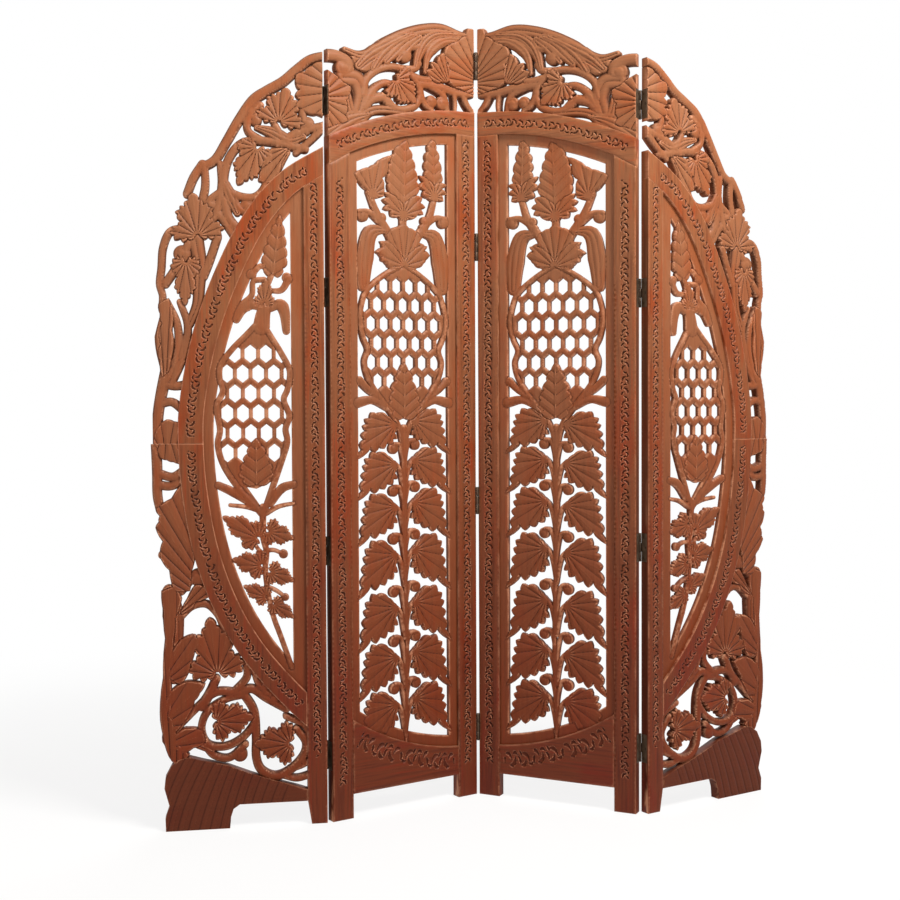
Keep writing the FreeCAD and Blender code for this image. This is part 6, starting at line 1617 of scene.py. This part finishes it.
class HingedEdge:
    """A hinged edge of a panel: where its pins are, which way its wood lies, and how high its hinges are."""

    def __init__(self, pivot_x, wood_side, front, heights):
        self.pivot_x = pivot_x
        self.wood_side = wood_side
        self.pivot_y = -STANDOFF if front else THICK + STANDOFF
        self.inward = 1 if front else -1
        self.heights = heights

    def slab(self, forge, start, reach, low, high):
        x_near = self.pivot_x + self.wood_side * EDGE_GAP / 2
        x_far = x_near + self.wood_side * LEAF
        y_near, y_far = self.pivot_y + self.inward * start, self.pivot_y + self.inward * reach
        forge.block((min(x_near, x_far), min(y_near, y_far), low),
                    (max(x_near, x_far), max(y_near, y_far), high), LEAF_EDGE)

    def plates(self, outer_knuckles):
        """The leaves of the hinges, with their screws, and their two outer knuckles or their middle one."""
        forge = Forge()
        for middle in self.heights:
            low, high = middle - HINGE / 2, middle + HINGE / 2
            inner, outer = middle - HINGE / 6, middle + HINGE / 6
            if outer_knuckles:
                spans = ((low, inner - KNUCKLE_GAP), (outer + KNUCKLE_GAP, high))
            else:
                spans = ((inner + KNUCKLE_GAP, outer - KNUCKLE_GAP),)
            self.slab(forge, STANDOFF, STANDOFF + LEAF_REACH, low, high)
            for start, end in spans:
                self.slab(forge, NECK, STANDOFF + LEAF, start, end)
                rings = ((KNUCKLE_RADIUS - KNUCKLE_EDGE, start), (KNUCKLE_RADIUS, start + KNUCKLE_EDGE),
                         (KNUCKLE_RADIUS, end - KNUCKLE_EDGE), (KNUCKLE_RADIUS - KNUCKLE_EDGE, end),
                         (BORE_RADIUS, end), (BORE_RADIUS, start))
                forge.turned((self.pivot_x, self.pivot_y, 0), rings, True, KNUCKLE_SIDES)
            face = self.pivot_x + self.wood_side * EDGE_GAP / 2
            for lift, reach in SCREWS:
                place = (face, self.pivot_y + self.inward * (STANDOFF + reach), middle + lift)
                forge.screw(place, -self.wood_side)
        return forge.template()

    def pins(self):
        forge = Forge()
        for middle in self.heights:
            low, high = middle - HINGE / 2, middle + HINGE / 2
            rings = [(radius, low + rise) for radius, rise in PIN_END]
            rings += [(radius, high - rise) for radius, rise in PIN_END[::-1]]
            forge.turned((self.pivot_x, self.pivot_y, 0), rings, False, PIN_SIDES)
        return forge.template()


INNER_FAR_EDGE = HingedEdge(WIDTH + EDGE_GAP / 2, -1, False, OUTER_HINGE_HEIGHTS)
INNER_NEAR_EDGE = HingedEdge(-EDGE_GAP / 2, 1, True, MIDDLE_HINGE_HEIGHTS)
OUTER_NEAR_EDGE = HingedEdge(-EDGE_GAP / 2, 1, False, OUTER_HINGE_HEIGHTS)
PANEL_2, PANEL_3 = PANELS["panel_2"], PANELS["panel_3"]
METAL = (
    (INNER_PANELS, "outer_hinge_plates", "up", "metal", lambda: INNER_FAR_EDGE.plates(True)),
    (INNER_PANELS, "outer_hinge_pins", "up", "metal", INNER_FAR_EDGE.pins),
    (OUTER_PANELS, "hinge_plates", "up", "metal", lambda: OUTER_NEAR_EDGE.plates(False)),
    ((PANEL_3,), "middle_hinge_plates", "up", "metal", lambda: INNER_NEAR_EDGE.plates(True)),
    ((PANEL_2,), "middle_hinge_plates", "up", "metal", lambda: INNER_NEAR_EDGE.plates(False)),
    ((PANEL_3,), "middle_hinge_pins", "up", "metal", INNER_NEAR_EDGE.pins),
)


for panels, node, grain, kind, shape in METAL + WOOD:
    template = shape()
    for panel in panels:
        stand(template, panel, node, MATERIALS[kind], SLOTS[kind], grain)


# Floor, backdrop, light and camera
ROOM_LIGHT = 0.34
CAMERA_PLACE = (-0.0578, -3.0008, 0.9138)
PITCH_DEGREES = 1.6
ROLL_DEGREES = -0.25
LENS = 52.24
SENSOR = 36


def seen_directly(finish):
    """1 where the camera, a reflection or a clear surface sees a background, and 0 for the light it gives."""
    camera_ray, glossy_ray, clear_ray = (finish.node("ShaderNodeLightPath", output=key) for key in (
        "Is Camera Ray", "Is Glossy Ray", "Is Transmission Ray"))
    return camera_ray.math("MAXIMUM", glossy_ray).math("MAXIMUM", clear_ray)


def pale(name, shade, camera_share):
    """A plain pale surface. The camera and reflections see it nearer to white."""
    finish = Finish(bpy.data.materials.new(name))
    seen = seen_directly(finish)
    plain = finish.node("ShaderNodeBsdfDiffuse", {}, {"Color": (shade, shade, shade, 1)})
    white = finish.node("ShaderNodeEmission", {}, {"Color": (1, 1, 1, 1), "Strength": 1.0})
    place = finish.node("ShaderNodeNewGeometry", output="Position")
    away = finish.node("ShaderNodeVectorMath", {"operation": "LENGTH"}, {0: place}, "Value")
    share = away.between(1.0, 2.6) * (1.0 - camera_share) + camera_share
    return finish.close(finish.node("ShaderNodeMixShader", {}, {0: seen * share, 1: plain, 2: white}))


def stage_plane(name, corners, material):
    mesh = bpy.data.meshes.new(name)
    mesh.from_pydata(corners, [], [(0, 1, 2, 3)])
    plane = bpy.data.objects.new(name, mesh)
    bpy.context.scene.collection.objects.link(plane)
    mesh.materials.append(material)


stage_plane("floor", ((-9, -9, 0), (9, -9, 0), (9, 9, 0), (-9, 9, 0)), pale("floor_paint", 0.88, 0.80))

bpy.context.scene.world = bpy.data.worlds.new("studio")
studio = Finish(bpy.context.scene.world)
room_light = studio.node("ShaderNodeBackground", {}, {"Color": (1.0, 0.97, 0.94, 1), "Strength": ROOM_LIGHT})
white_wall = studio.node("ShaderNodeBackground", {}, {"Color": (1, 1, 1, 1), "Strength": 1.0})
studio.close(studio.node("ShaderNodeMixShader", {}, {0: seen_directly(studio), 1: room_light, 2: white_wall}),
             "ShaderNodeOutputWorld")


def lamp(name, place, target, size, power, colour):
    data = bpy.data.lights.new(name, "AREA")
    data.shape = "RECTANGLE"
    data.size, data.size_y = size
    data.energy = power
    data.color = colour
    light = bpy.data.objects.new(name, data)
    bpy.context.scene.collection.objects.link(light)
    light.location = place
    light.rotation_euler = (Vector(target) - Vector(place)).to_track_quat("-Z", "Y").to_euler()


lamp("key", (1.5, -1.6, 3.5), (0.0, 0.0, 1.0), (1.1, 1.1), 150, (1.0, 0.97, 0.93))
lamp("fill", (-2.6, -2.6, 1.8), (0.0, 0.0, 0.9), (1.8, 1.8), 26, (1.0, 0.98, 0.96))
lamp("back", (0.6, 3.0, 2.6), (0.0, 0.0, 0.9), (2.5, 2.0), 60, (1.0, 0.99, 0.98))

camera_data = bpy.data.cameras.new("camera")
camera = bpy.data.objects.new("camera", camera_data)
bpy.context.scene.collection.objects.link(camera)
camera_data.lens = LENS
camera_data.sensor_width = SENSOR
pitch, roll = math.radians(PITCH_DEGREES), math.radians(ROLL_DEGREES)
level = Matrix(((1, 0, 0), (0, 0, -1), (0, 1, 0)))
nod = Matrix(((1, 0, 0), (0, math.cos(pitch), -math.sin(pitch)), (0, math.sin(pitch), math.cos(pitch))))
tilt = Matrix(((math.cos(roll), -math.sin(roll), 0), (math.sin(roll), math.cos(roll), 0), (0, 0, 1)))
rows = tilt @ nod @ level
turn = Matrix((rows[0], -rows[1], -rows[2])).transposed()
camera.matrix_world = Matrix.Translation(CAMERA_PLACE) @ turn.to_4x4()
bpy.context.scene.camera = camera
bpy.context.scene.view_settings.view_transform = "Standard"
